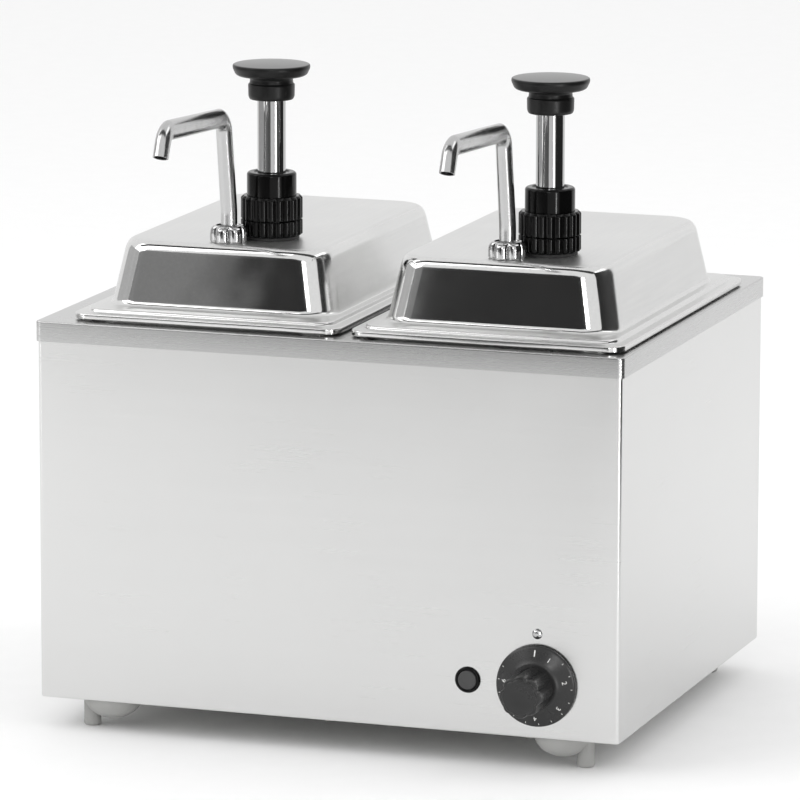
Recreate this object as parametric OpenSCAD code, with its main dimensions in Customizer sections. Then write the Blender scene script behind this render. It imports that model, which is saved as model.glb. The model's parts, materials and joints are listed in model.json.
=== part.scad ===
// Twin heated condiment pump dispenser: a counter warmer with two wells, each
// holding a food pan closed by a domed lid that carries a hand pump.
// Front is -Y. The origin is under the middle of the whole outline, on the counter.

/* [Housing] */
// Deck beside the left well
deck_left = 32.5; // [13:0.5:60]
// Deck beside the right well
deck_right = 13.5; // [13:0.5:60]
// Deck between the two wells
deck_between = 28; // [26:0.5:60]
// Deck in front of the wells
deck_front = 20; // [16:0.5:60]
// Deck behind the wells
deck_back = 46; // [16:0.5:90]
// Room under the wells for the heaters and the controls
service_h = 112.5; // [93:0.5:150]
// Thickness of the housing sheet
sheet = 1.2; // [0.8:0.1:1.8]
// Height of the rim band around the deck
rim_h = 15; // [10:0.5:24]
// How far the rim band stands proud of the walls
rim_proud = 1.5; // [1.5:0.1:3]
// Outside corner radius of the housing
body_r = 3; // [2:0.5:12]
// Height of the feet
foot_h = 24; // [18:1:40]
// Inset of the foot posts from the side walls
foot_inset_x = 32; // [22:1:60]
// Inset of the foot posts from the front and back walls
foot_inset_y = 24; // [22:1:60]
// Radius of the rounded boss beside each foot post
foot_boss_r = 22; // [14:1:26]

/* [Wells and pans] */
// Outside width of a pan below its flange
pan_w = 180; // [150:1:220]
// Outside length of a pan below its flange
pan_l = 292; // [240:1:360]
// Depth of a pan, from the top of its flange to its underside
pan_depth = 150; // [125:1:190]
// Thickness of the pan sheet
pan_t = 0.9; // [0.6:0.1:1.5]
// Outside corner radius of a pan
pan_r = 22; // [10:1:40]
// Width of the pan flange
pan_flange = 9; // [8:0.5:12]
// Height of the turned down lip of the pan flange
pan_lip_h = 4.5; // [3:0.5:8]
// Gap between a pan and the wall of its well
well_gap = 4; // [3:0.5:5]
// Space under a pan, down to the floor of its well
well_under = 26; // [12:1:40]
// Thickness of the well sheet
well_t = 1; // [0.8:0.1:1.5]
// Thickness of the insulation around a well
insulation_t = 6; // [3:0.5:6]

/* [Lids] */
// Gap between the lid skirt and the pan flange
lid_fit = 4; // [1:0.5:4]
// Thickness of the lid sheet
lid_t = 1; // [0.8:0.1:1.5]
// Height of the lid skirt
lid_skirt = 4; // [2:0.5:6]
// Height of the raised step inside the lid's border
lid_step = 3; // [1.5:0.5:5]
// Width of the lid's border
lid_border = 8; // [6:0.5:9]
// Height of the dome above the raised step
dome_h = 47.5; // [35:0.5:70]
// Inset of the foot of the dome from the lid's sides
dome_in_x = 15; // [12:0.5:24]
// Inset of the foot of the dome from the lid's ends
dome_in_y = 27; // [14:0.5:40]
// Lean of the dome's walls, from foot to top
dome_draft = 9; // [4:0.5:16]
// Rounding of the dome's top edge
dome_round = 8; // [4:0.5:12]
// Corner radius at the foot of the dome
dome_r = 24; // [14:1:34]

/* [Pumps] */
// Sideways offset of a pump from the middle of its lid
pump_x = 23; // [16:0.5:30]
// Distance of a pump from the front edge of its lid
pump_front = 84; // [76:0.5:120]
// Outside radius of the pump cylinder
cyl_r = 15; // [12.5:0.25:16]
// Wall of the pump cylinder
cyl_t = 2; // [1.5:0.25:2.5]
// Gap between the valve body and the floor of the pan
pump_floor_gap = 8; // [4:1:20]
// Gap between the plunger tube and the wall of the cylinder
tube_gap = 2.5; // [2:0.25:4]
// Wall of the plunger tube
tube_t = 1; // [0.8:0.1:1.5]
// Stroke of the plunger
stroke = 48; // [20:1:50]
// Plunger tube still showing when the knob is pressed right down
tube_spare = 6; // [4:0.5:12]
// Radius of the knob
knob_r = 28.8; // [22:0.2:32]
// Thickness of the knob at its edge
knob_edge = 9.5; // [6:0.5:12]
// Radius of the cup under the knob
knob_cup_r = 17.2; // [14:0.2:20]
// Height of the cup under the knob
knob_cup_h = 15.5; // [10:0.5:20]
// Outside radius of the lock collar and the mounting nut
collar_r = 22.9; // [19:0.1:24]
// Height of the lock collar
lock_h = 17.4; // [14:0.2:22]
// Height of the mounting nut
nut_h = 11.6; // [8:0.2:16]
// How much smaller the gland collar's radius is than the lock collar's
gland_inset = 4.5; // [4:0.1:6]
// Height of the gland collar above the lock collar
gland_show = 17.5; // [10:0.5:24]

/* [Spouts] */
// Distance of a spout from the front edge of its lid
spout_front = 55.4; // [52:0.2:60]
// Radius of the spout tube
spout_r = 6.15; // [5:0.05:6.15]
// Wall of the spout tube
spout_t = 1; // [0.8:0.1:1.4]
// Height of the spout above the lid before it leans
spout_root = 20; // [18:1:40]
// Lean of the spout's upright
spout_lean = 9; // [0:0.5:14]
// Length of the leaning upright
spout_rise = 58; // [40:1:80]
// Rise of the spout's arm above level
spout_arm_up = 3; // [0:0.5:10]
// Length of the spout's arm
spout_arm = 100; // [70:1:130]
// Angle of the nozzle below level
nozzle_down = 65; // [45:1:85]
// Length of the straight end of the nozzle
nozzle_l = 12; // [6:0.5:25]

/* [Controls] */
// Distance of the dial to the right of the middle of the right well
dial_off = 45.5; // [33:0.5:52]
// Height of the dial above the lower edge of the walls
dial_z = 39.5; // [38:0.5:60]
// Radius of the dial's skirt
dial_r = 30.1; // [26:0.1:34]
// Radius of the dial's grip
grip_r = 16; // [12:0.5:18]
// Distance between the push switch and the dial
switch_off = 52.8; // [51:0.2:83]
// Distance of the cord inlet from the left wall
inlet_in = 75; // [40:1:110]
// Radius of the push switch bezel
switch_r = 9.7; // [9.4:0.1:12]
// Radius of the cord inlet bush's bore
inlet_r = 4.2; // [3:0.1:6]

/* [Hidden] */
$fn = 96;
left = -1;
right = 1;
eps = 0.01;
fit = 0.05;       // radial gap of a running fit
snug = 0.1;       // gap between pieces that are screwed or clamped together
free = 0.3;       // gap between pieces that only pass each other
slim = 0.02;      // how much thinner a bend is than the straights beside it
bend_lap = 0.5;   // degrees that a bend laps into each straight
past = 1;         // how far a cut runs past the face it opens

// Slots, screws and feet
back_slots = [9, 16, 34, 4];   // count, pitch, length, width
cover_slots = [9, 14, 90, 5];
slot_rise = 30;
screw_head_r = 3.6;
screw_head_h = 1.8;
cover_screw_x = 70;
foot_post_r = 6.5;
boss_offset = 17;
boss_ratio = 0.78;
foot_bolt_l = 12;
foot_nut_r = 5;
foot_nut_h = 3;
cover_r = 4;
heater_pin_r = 1.8;
heater_pin_l = 14;
strap_t = 1.5;
strap_w = 14;
strap_over = 20;
strap_y = 60;
strap_stud_r = 2.5;
strap_nut_r = 5;
strap_nut_h = 4;
strap_stud_below = 9;

// Heights
wall_bottom = foot_h;
well_floor = wall_bottom + service_h;
pan_under = well_floor + well_under;
pan_top = pan_under + pan_depth;
deck_top = pan_top - pan_lip_h;
deck_under = deck_top - sheet;
border_top = pan_top + lid_t;
step_top = border_top + lid_step;
dome_top = step_top + dome_h;

// Plan sizes
well_w = pan_w + 2 * well_gap;
well_l = pan_l + 2 * well_gap;
well_r = pan_r + well_gap;
well_flange = 10;
pan_flange_w = pan_w + 2 * pan_flange;
pan_flange_l = pan_l + 2 * pan_flange;
lid_w = pan_flange_w + 2 * (lid_fit + lid_t);
lid_l = pan_flange_l + 2 * (lid_fit + lid_t);
lid_r = 12;
dome_w = lid_w - 2 * dome_in_x;
dome_l = lid_l - 2 * dome_in_y;
well_pitch = well_w + deck_between;
body_w = deck_left + well_pitch + well_w + deck_right;
body_d = deck_front + well_l + deck_back;
well_shift_x = (deck_left - deck_right) / 2;
well_shift_y = (deck_front - deck_back) / 2;

// Pump stack, measured up from the top of the dome
gasket_h = 2.5;
gasket_r = collar_r - 2.4;
nut_z = gasket_h;
lock_z = nut_z + nut_h + 0.5;
lock_wall = 2;
flutes = 20;
flute_depth = 1.3;
gland_bevel = 1.2;
knob_lip = 1.6;
knob_taper = 4.5;
spring_slices = 20;
lock_top = lock_z + lock_h;
gland_foot_h = 6;
gland_r = collar_r - gland_inset;
gland_foot_r = gland_r + 1.6;
gland_foot_z = lock_top - lock_wall - gland_foot_h - snug;
gland_top = lock_top + gland_show;
cyl_in_r = cyl_r - cyl_t;
tube_r = cyl_in_r - tube_gap;
cyl_top = gland_foot_z - snug;
tube_show = stroke + tube_spare;
knob_bottom = gland_top + tube_show;
knob_under = knob_bottom + knob_cup_h;
knob_crown = 2.5;
tube_hold = 12;

// Valve body, measured from the top of the dome
valve_floor = pan_under + pan_t + pump_floor_gap - dome_top;
seat_z = valve_floor + 12;
ledge_z = seat_z + 12;
valve_top = ledge_z + 12;
cyl_bottom = ledge_z;
chamber_r = cyl_in_r - 3;
intake_r = 5;
intake_ball_r = 7;
passage_r = 3.2;
passage_z = seat_z + 5;
outlet_seat_z = passage_z + 5;
outlet_ball_r = 4.5;
outlet_chamber_r = 5;
tube_seat_z = outlet_seat_z + 15;
socket_top = tube_seat_z + 12;
spout_boss_r = spout_r + 3.8;

// Spring and piston
spring_wire = 0.9;
spring_r = cyl_in_r - spring_wire - 1.5;
spring_turns = 7;
piston_h = 16;
piston_z = gland_top - 112;
spring_bottom = ledge_z + spring_wire;
spring_top = piston_z - spring_wire;

// Spout path, starting at the foot of its tube: ["s", length] or ["b", radius, angle]
lean_bend = 40;
elbow_bend = 13;
nozzle_bend = 12;
spout_path = [["s", spout_root - tube_seat_z],
              ["b", lean_bend, spout_lean],
              ["s", spout_rise],
              ["b", elbow_bend, 90 - spout_lean - spout_arm_up],
              ["s", spout_arm],
              ["b", nozzle_bend, nozzle_down + spout_arm_up],
              ["s", nozzle_l]];
// Where a path ends: [distance forward, height, heading from upright]
function path_end(p, i = 0, u = 0, z = 0, h = 0) =
    i == len(p) ? [u, z, h] :
    p[i][0] == "s" ? path_end(p, i + 1, u + p[i][1] * sin(h), z + p[i][1] * cos(h), h) :
    path_end(p, i + 1, u + p[i][1] * (cos(h) - cos(h + p[i][2])),
             z + p[i][1] * (sin(h + p[i][2]) - sin(h)), h + p[i][2]);
spout_end = path_end(spout_path);
spout_reach = spout_end[0] + spout_r * abs(cos(spout_end[2]));

// Plan places: the outline's middle is at Y = 0
inlet_proud = 6;
house_y = (lid_l / 2 - well_shift_y - spout_front + spout_reach - body_d / 2 - inlet_proud) / 2;
front_y = house_y - body_d / 2;
back_y = house_y + body_d / 2;
well_y = house_y + well_shift_y;
pump_y = -lid_l / 2 + pump_front;
spout_y = -lid_l / 2 + spout_front;
pump_to_spout = [-pump_x, spout_y - pump_y];
foot_x = body_w / 2 - foot_inset_x;
foot_y = body_d / 2 - foot_inset_y;
boss_x = foot_x - boss_offset;
cover_lip = 12;
cover_in_w = body_w - 2 * cover_lip;
cover_in_d = body_d - 2 * cover_lip;
screw_r = 2;
foot_bolt_r = screw_r + 0.5;

// Controls
dial_x = well_shift_x + well_pitch / 2 + dial_off;
switch_x = dial_x - switch_off;
dial_height = wall_bottom + dial_z;
dial_gap = 1;
shaft_r = 3;
bush_r = 5;
stud_r = 3.9;
stud_ball_r = 4.6;
stud_pin_r = 2;
stud_proud = 2.4;
thermostat_box = [44, 30, 42];
thermostat_low = 20;
bush_show = 4;
thermostat_nut_r = 8.5;
thermostat_nut_h = 2.6;
shaft_out = 14;
shaft_in = 20;
bulb_l = 90;
bulb_run = 50;
bulb_bend = 12;
bulb_tube_r = 0.9;
skirt_edge = 2.5;
skirt_top = 8;
skirt_face = 9;
grip_h = 40;
grip_cap_h = 1.2;
grip_lobes = 8;
lobe_depth = 1.6;
dial_hollow_r = 11;
dial_hollow_h = 4.5;
dial_socket = 13;
stud_z = dial_height + dial_r + 8;
switch_barrel_r = switch_r - 1.7;
switch_cap_r = switch_barrel_r - 0.9;
switch_travel = 2.2;
switch_proud = 2;
switch_box = 22;
switch_box_y = 14;
switch_deep = 12;
switch_show = 0.6;
terminal_box = [70, 22, 18];
terminal_x = -60;
terminal_back = 70;
terminal_pitch = 13;
terminal_r = 4;
bush_flange_r = 13;
bush_nut_r = 12;
bush_nut_h = 6;
bush_deep = 14;
heater_r = 4;
heater_gap = 0.2;
heater_half = 45;
heater_leg = 200;
heater_z = well_floor - well_t - heater_gap - heater_r;
bulb_r = 3;
bulb_off = 15;
bulb_x = dial_x - bulb_off;
inlet_x = inlet_in - body_w / 2;
inlet_z = wall_bottom + 40;
inlet_barrel_r = 7.9;

// ---------- shapes ----------

// Rectangle with true round corners
module round_rect(w, l, r) {
    square([w - 2 * r, l], center = true);
    square([w, l - 2 * r], center = true);
    for (x = [-1, 1], y = [-1, 1])
        translate([x * (w / 2 - r), y * (l / 2 - r)]) circle(r = r);
}

// Rounded block from height z0 up to z1
module block(w, l, r, z0, z1) {
    translate([0, 0, z0]) linear_extrude(z1 - z0) round_rect(w, l, r);
}

// Rounded rectangular tube with wall t
module wall_tube(w, l, r, t, z0, z1) {
    difference() {
        block(w, l, r, z0, z1);
        block(w - 2 * t, l - 2 * t, max(r - t, 0.2), z0 - 1, z1 + 1);
    }
}

// Flat washer or sleeve from z0 to z1
module sleeve(r_out, r_in, z0, z1) {
    difference() {
        translate([0, 0, z0]) cylinder(r = r_out, h = z1 - z0);
        translate([0, 0, z0 - 1]) cylinder(r = r_in, h = z1 - z0 + 2);
    }
}

// Cylinder along +Y, from y0 to y1
module rod_y(r, y0, y1) {
    translate([0, y0, 0]) rotate([-90, 0, 0]) cylinder(r = r, h = y1 - y0);
}

// Ring or disc outline: radius r, with a hole of radius bore unless that is 0
module ring(r, bore) {
    difference() {
        circle(r = r);
        if (bore > 0) circle(r = bore);
    }
}

// Round bar or tube along a path that starts upwards and bends towards -Y. Each bend is a
// hair thinner than the straights and laps into them.
module bent_bar(path, r, bore = 0, i = 0) {
    if (i < len(path)) {
        if (path[i][0] == "s") {
            linear_extrude(path[i][1]) ring(r, bore);
            translate([0, 0, path[i][1]]) bent_bar(path, r, bore, i + 1);
        } else {
            translate([0, -path[i][1], 0]) {
                rotate([90, 0, 90]) rotate([0, 0, -bend_lap])
                    rotate_extrude(angle = path[i][2] + 2 * bend_lap)
                    translate([path[i][1], 0]) ring(r - slim, bore > 0 ? bore + slim : 0);
                rotate([path[i][2], 0, 0]) translate([0, path[i][1], 0])
                    bent_bar(path, r, bore, i + 1);
            }
        }
    }
}

// Outline of a grip ring with scallops around it
module scalloped(r, count, depth) {
    scallop = r * sin(180 / count) * 0.62;
    difference() {
        circle(r = r);
        for (i = [0 : count - 1])
            rotate(i * 360 / count) translate([r + scallop - depth, 0]) circle(r = scallop);
    }
}

module at_well(side) {
    translate([well_shift_x + side * well_pitch / 2, well_y, 0]) children();
}

module at_pump(side) {
    at_well(side) translate([pump_x, pump_y, dome_top]) children();
}

module at_spout(side) {
    at_well(side) translate([0, spout_y, dome_top]) children();
}

module at_feet() {
    for (x = [-1, 1], y = [-1, 1])
        translate([x * foot_x, house_y + y * foot_y, 0]) children();
}

// Row of slots along X
module slot_row(row) {
    for (i = [0 : row[0] - 1]) translate([(i - (row[0] - 1) / 2) * row[1], 0])
        round_rect(row[3], row[2], row[3] / 2 - eps);
}

// ---------- housing ----------

module body_wrap() {
    color("gainsboro") difference() {
        union() {
            translate([0, house_y, 0])
                wall_tube(body_w, body_d, body_r, sheet, wall_bottom, deck_under);
            translate([0, house_y, 0])
                wall_tube(body_w - 2 * eps, body_d - 2 * eps, body_r, cover_lip,
                          wall_bottom, wall_bottom + sheet);
        }
        translate([dial_x, 0, dial_height]) rod_y(bush_r + snug, front_y - 1, front_y + 3);
        translate([dial_x, 0, stud_z]) rod_y(stud_pin_r + snug, front_y - past, front_y + 3);
        translate([switch_x, 0, dial_height])
            rod_y(switch_barrel_r + snug, front_y - 1, front_y + 3);
        translate([inlet_x, 0, inlet_z]) rod_y(inlet_barrel_r + snug, back_y - 3, back_y + 1);
        translate([0, back_y + past, wall_bottom + slot_rise]) rotate([90, 0, 0])
            linear_extrude(sheet + 2 * past) slot_row(back_slots);
        translate([0, house_y, 0]) cover_screw_places()
            cylinder(r = screw_r + snug, h = 6, center = true);
    }
}

// Places of the screws around the bottom cover
module cover_screw_places() {
    for (x = [-1, 0, 1], y = [-1, 1])
        translate([x * (body_w / 2 - cover_screw_x), y * (body_d / 2 - cover_lip / 2 - 1), wall_bottom])
            children();
}

module top_deck() {
    color("silver") translate([0, house_y, 0]) difference() {
        union() {
            wall_tube(body_w + 2 * rim_proud, body_d + 2 * rim_proud, body_r + rim_proud,
                      sheet, deck_top - rim_h, deck_top - eps);
            block(body_w + 2 * rim_proud, body_d + 2 * rim_proud, body_r + rim_proud,
                  deck_under, deck_top);
        }
        for (side = [left, right]) translate([well_shift_x + side * well_pitch / 2, well_shift_y])
            block(well_w, well_l, well_r, deck_under - 1, deck_top + 1);
    }
}

module bottom_cover() {
    color("silver") translate([0, house_y, 0]) difference() {
        union() {
            block(cover_in_w - 2 * free, cover_in_d - 2 * free, cover_r, wall_bottom,
                  wall_bottom + sheet);
            wall_tube(body_w - 2 * sheet - 4, body_d - 2 * sheet - 4, cover_r, cover_lip + 6,
                      wall_bottom + sheet, wall_bottom + 2 * sheet);
        }
        cover_screw_places() cylinder(r = screw_r, h = 8, center = true);
        for (x = [-1, 1], y = [-1, 1]) translate([x * foot_x, y * foot_y, wall_bottom])
            cylinder(r = foot_bolt_r + snug, h = 8, center = true);
        for (side = [-1, 1]) translate([side * body_w / 5, 0, wall_bottom - 1])
            linear_extrude(3 * sheet) slot_row(cover_slots);
    }
}

module bottom_screws() {
    color("gray") translate([0, house_y, 0]) cover_screw_places() {
        translate([0, 0, -screw_head_h]) cylinder(r = screw_head_r, h = screw_head_h);
        cylinder(r = screw_r, h = 2 * sheet + 4);
    }
}

// One foot: an upright post beside a rounded boss
module foot() {
    boss_deep = foot_boss_r * boss_ratio;
    ball_r = (foot_boss_r * foot_boss_r + boss_deep * boss_deep) / (2 * boss_deep);
    difference() {
        union() {
            cylinder(r = foot_post_r, h = foot_h);
            translate([boss_x - foot_x, 0, 0]) intersection() {
                translate([0, 0, foot_h - boss_deep + ball_r]) sphere(r = ball_r);
                translate([0, 0, foot_h - boss_deep]) cylinder(r = ball_r, h = boss_deep);
            }
        }
        translate([0, 0, foot_h - foot_bolt_l - 2]) cylinder(r = foot_bolt_r, h = foot_bolt_l + 3);
    }
}

module feet() {
    color("dimgray") for (x = [-1, 1], y = [-1, 1])
        translate([x * foot_x, house_y + y * foot_y, 0]) mirror([x < 0 ? 1 : 0, 0, 0]) foot();
}

module foot_screws() {
    color("gray") at_feet() {
        translate([0, 0, foot_h - foot_bolt_l])
            cylinder(r = foot_bolt_r, h = foot_bolt_l + 2 * sheet + 2);
        translate([0, 0, wall_bottom + 2 * sheet]) cylinder(r = foot_nut_r, h = foot_nut_h);
    }
}

// ---------- wells and heating ----------

module well(side) {
    color("silver") at_well(side) difference() {
        union() {
            block(well_w + 2 * well_t, well_l + 2 * well_t, well_r + well_t,
                  well_floor - well_t, deck_under);
            block(well_w + 2 * well_flange, well_l + 2 * well_flange, well_r + well_flange,
                  deck_under - well_t, deck_under);
        }
        block(well_w, well_l, well_r, well_floor, deck_under + 1);
    }
}

module insulation(side) {
    color("wheat") at_well(side)
        wall_tube(well_w + 2 * (well_t + snug + insulation_t),
                  well_l + 2 * (well_t + snug + insulation_t),
                  well_r + well_t + snug + insulation_t, insulation_t,
                  well_floor, deck_under - well_t - 4);
}

// Bent tube element with its two terminal pins
module heater(side) {
    color("dimgray") at_well(side) translate([0, 0, heater_z]) {
        for (x = [-1, 1]) translate([x * heater_half, 0, 0]) {
            rod_y(heater_r, -heater_leg / 2, heater_leg / 2);
            rod_y(heater_pin_r, -heater_leg / 2 - heater_pin_l, -heater_leg / 2);
        }
        translate([0, heater_leg / 2, 0]) rotate_extrude(angle = 180)
            translate([heater_half, 0]) circle(r = heater_r);
    }
}

// Two straps under each element, each hung on a stud of the well
module heater_clamps() {
    strap_top = heater_z - heater_r;
    color("silver") for (side = [left, right], y = [-strap_y, strap_y])
        at_well(side) translate([0, y, 0]) {
            translate([0, 0, strap_top - strap_t / 2])
                cube([2 * heater_half + strap_over, strap_w, strap_t], center = true);
            translate([0, 0, strap_top - strap_stud_below])
                cylinder(r = strap_stud_r, h = well_floor - well_t - strap_top + strap_stud_below);
            translate([0, 0, strap_top - strap_t - strap_nut_h])
                cylinder(r = strap_nut_r, h = strap_nut_h, $fn = 6);
        }
}

// ---------- controls ----------

module thermostat_body() {
    color("ivory") translate([dial_x, 0, dial_height]) difference() {
        union() {
            translate([-thermostat_box[0] / 2, front_y + sheet + snug, -thermostat_low])
                cube(thermostat_box);
            rod_y(bush_r, front_y - bush_show, front_y + sheet + past);
        }
        rod_y(shaft_r + fit, front_y - bush_show - past, front_y + sheet + shaft_in);
    }
}

module thermostat_nut() {
    color("silver") translate([dial_x, 0, dial_height]) difference() {
        translate([0, front_y, 0]) rotate([90, 0, 0])
            cylinder(r = thermostat_nut_r, h = thermostat_nut_h, $fn = 6);
        rod_y(bush_r, front_y - bush_show, front_y + past);
    }
}

module thermostat_shaft() {
    color("silver") translate([dial_x, 0, dial_height])
        rod_y(shaft_r, front_y - shaft_out, front_y + shaft_in);
}

// Bulb under the right well, with its fine tube down to the thermostat
module thermostat_bulb() {
    start_z = dial_height + thermostat_box[2] - thermostat_low;
    start_y = front_y + sheet + thermostat_box[1] / 2 - 1;
    bulb_z = heater_z + heater_r - bulb_r;
    color("peru") translate([bulb_x, start_y, start_z]) rotate([0, 0, 180]) {
        bent_bar([["s", bulb_z - start_z - bulb_bend], ["b", bulb_bend, 90], ["s", bulb_run]],
                 bulb_tube_r);
        translate([0, -bulb_bend - bulb_run, bulb_z - start_z]) rod_y(bulb_r, -bulb_l, 0);
    }
}

// Dial: sloping skirt with a lobed grip
module dial() {
    back = front_y - dial_gap;
    color("black") translate([dial_x, back, dial_height]) rotate([90, 0, 0]) difference() {
        union() {
            rotate_extrude()
                polygon([[0, 0], [dial_r, 0], [dial_r, skirt_edge], [dial_r - 1, skirt_edge + 0.9],
                         [grip_r + 2, skirt_top], [grip_r, skirt_face], [0, skirt_face]]);
            linear_extrude(grip_h) scalloped(grip_r, grip_lobes, lobe_depth);
            translate([0, 0, grip_h - eps])
                cylinder(r1 = grip_r - 2.4, r2 = grip_r - 3.4, h = grip_cap_h);
        }
        translate([0, 0, -past]) cylinder(r = dial_hollow_r, h = dial_hollow_h + past);
        translate([0, 0, -past]) cylinder(r = shaft_r, h = dial_socket + past);
    }
}

module index_stud() {
    color("silver") translate([dial_x, 0, stud_z]) {
        rod_y(stud_pin_r, front_y - 0.5, front_y + 4);
        intersection() {
            translate([0, front_y - stud_proud + stud_ball_r, 0]) sphere(r = stud_ball_r);
            rod_y(stud_r, front_y - 3, front_y);
        }
    }
}

module switch_body() {
    color("black") translate([switch_x, 0, dial_height]) difference() {
        union() {
            rod_y(switch_r, front_y - switch_proud, front_y);
            rod_y(switch_barrel_r, front_y - past, front_y + switch_box_y + 2);
            translate([-switch_box / 2, front_y + switch_box_y, -switch_box / 2])
                cube([switch_box, switch_box_y, switch_box]);
        }
        rod_y(switch_cap_r + fit, front_y - switch_proud - past, front_y + switch_deep);
    }
}

module switch_cap() {
    color("dimgray") translate([switch_x, 0, dial_height])
        rod_y(switch_cap_r, front_y - switch_proud - switch_show,
              front_y + switch_deep - switch_travel - free);
}

module terminal_block() {
    color("ivory") translate([terminal_x, back_y - terminal_back, wall_bottom + 2 * sheet])
        difference() {
        translate([-terminal_box[0] / 2, -terminal_box[1] / 2, 0]) cube(terminal_box);
        for (x = [-2 : 2]) translate([x * terminal_pitch, 0, terminal_box[2] / 3])
            cylinder(r = terminal_r, h = terminal_box[2]);
    }
}

module inlet_bush() {
    color("black") translate([inlet_x, 0, inlet_z]) difference() {
        union() {
            rod_y(bush_flange_r, back_y, back_y + inlet_proud);
            rod_y(inlet_barrel_r, back_y - bush_deep, back_y + past);
            rod_y(bush_nut_r, back_y - sheet - bush_nut_h, back_y - sheet);
        }
        rod_y(inlet_r, back_y - bush_deep - past, back_y + inlet_proud + past);
    }
}

// ---------- pans and lids ----------

module pan(side) {
    color("silver") at_well(side) difference() {
        union() {
            block(pan_w, pan_l, pan_r, pan_under, pan_top);
            block(pan_flange_w, pan_flange_l, pan_r + pan_flange, deck_top, pan_top);
        }
        block(pan_w - 2 * pan_t, pan_l - 2 * pan_t, pan_r - pan_t, pan_under + pan_t, pan_top + 1);
        translate([0, 0, deck_top - 1]) linear_extrude(pan_lip_h - pan_t + 1) difference() {
            round_rect(pan_flange_w - 2 * pan_t, pan_flange_l - 2 * pan_t,
                       pan_r + pan_flange - pan_t);
            round_rect(pan_w, pan_l, pan_r);
        }
    }
}

// Solid of the dome, drawn in by inset and lowered by drop
module dome_solid(inset, drop) {
    top_w = dome_w - 2 * dome_draft - 2 * inset;
    top_l = dome_l - 2 * dome_draft - 2 * inset;
    top = dome_top - drop;
    ball = dome_round - inset;
    hull() {
        translate([0, 0, step_top - lid_t - eps]) linear_extrude(1)
            round_rect(dome_w - 2 * inset, dome_l - 2 * inset, dome_r - inset, $fn = 48);
        for (x = [-1, 1], y = [-1, 1])
            translate([x * (top_w / 2 - dome_r + inset), y * (top_l / 2 - dome_r + inset), top - ball])
                rotate_extrude($fn = 32) intersection() {
                    translate([dome_r - inset - ball, 0]) circle(r = ball, $fn = 24);
                    square([dome_r, ball]);
                }
    }
}

module lid(side) {
    in_w = lid_w - 2 * lid_border;
    in_l = lid_l - 2 * lid_border;
    color("gainsboro") at_well(side) difference() {
        union() {
            wall_tube(lid_w, lid_l, lid_r, lid_t, border_top - lid_skirt, border_top - eps);
            wall_tube(lid_w, lid_l, lid_r, lid_border, pan_top, border_top);
            wall_tube(in_w + 2 * eps, in_l + 2 * eps, lid_r, lid_t, pan_top, step_top - eps);
            block(in_w, in_l, lid_r, step_top - lid_t, step_top);
            dome_solid(0, 0);
        }
        dome_solid(lid_t, lid_t);
        translate([0, 0, step_top - 2 * lid_t]) linear_extrude(lid_t)
            round_rect(dome_w - 2 * lid_t, dome_l - 2 * lid_t, dome_r - lid_t);
        translate([pump_x, pump_y, dome_top - 10]) cylinder(r = cyl_r + free, h = 20);
        translate([0, spout_y, dome_top - 10]) cylinder(r = spout_r + 2.6 + snug, h = 20);
    }
}

// ---------- pump ----------

module knob(side) {
    edge_top = knob_under + knob_edge;
    crown_r = (knob_r * knob_r + knob_crown * knob_crown) / (2 * knob_crown);
    color("black") at_pump(side) difference() {
        union() {
            translate([0, 0, knob_bottom]) cylinder(r = knob_cup_r, h = knob_cup_h + 1);
            rotate_extrude() union() {
                polygon([[0, knob_under], [knob_r - knob_taper, knob_under],
                         [knob_r, edge_top - knob_lip], [knob_r - knob_lip, edge_top], [0, edge_top]]);
                translate([knob_r - knob_lip, edge_top - knob_lip]) circle(r = knob_lip);
                intersection() {
                    translate([0, edge_top + knob_crown - crown_r - eps])
                        circle(r = crown_r, $fn = 256);
                    translate([0, edge_top - 1]) square([knob_r - knob_lip, knob_crown + knob_lip]);
                }
            }
        }
        translate([0, 0, knob_bottom - 1]) cylinder(r = tube_r + snug, h = tube_hold + 1);
        translate([0, 0, knob_bottom - 1]) sleeve(knob_cup_r - 1.6, tube_r + 2, 0, 8);
    }
}

module plunger_tube(side) {
    color("lightgray") at_pump(side)
        sleeve(tube_r, tube_r - tube_t, piston_z + 4, knob_bottom + tube_hold - snug);
}

module piston(side) {
    color("white") at_pump(side) difference() {
        union() {
            translate([0, 0, piston_z]) cylinder(r = cyl_in_r - fit - 0.15, h = piston_h - 4);
            translate([0, 0, piston_z]) cylinder(r = tube_r - tube_t - snug, h = piston_h + 4);
        }
        sleeve(tube_r + snug, tube_r - tube_t - snug, piston_z + 4, piston_z + piston_h + 5);
        sleeve(cyl_r, cyl_in_r - 1.7, piston_z + 1, piston_z + 3.4);
    }
}

module piston_seal(side) {
    color("dimgray") at_pump(side)
        sleeve(cyl_in_r - fit, cyl_in_r - 1.7, piston_z + 1.1, piston_z + 3.3);
}

// Helical spring: a level cut through the round wire is a crescent, turned as it rises
module return_spring(side) {
    pitch = (spring_top - spring_bottom) / spring_turns;
    half = 360 * spring_wire / pitch;
    steps = 5;
    edge = [for (i = [-steps : steps]) [half * i / steps, sqrt(1 - pow(i / steps, 2))]];
    outer = [for (e = edge) (spring_r + spring_wire * e[1]) * [cos(e[0]), sin(e[0])]];
    inner = [for (i = [len(edge) - 2 : -1 : 1])
             (spring_r - spring_wire * edge[i][1]) * [cos(edge[i][0]), sin(edge[i][0])]];
    color("silver") at_pump(side) translate([0, 0, spring_bottom])
        linear_extrude(height = spring_top - spring_bottom, twist = -360 * spring_turns, $fn = 8,
                       slices = spring_slices * spring_turns)
            polygon(concat(outer, inner));
}

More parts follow.
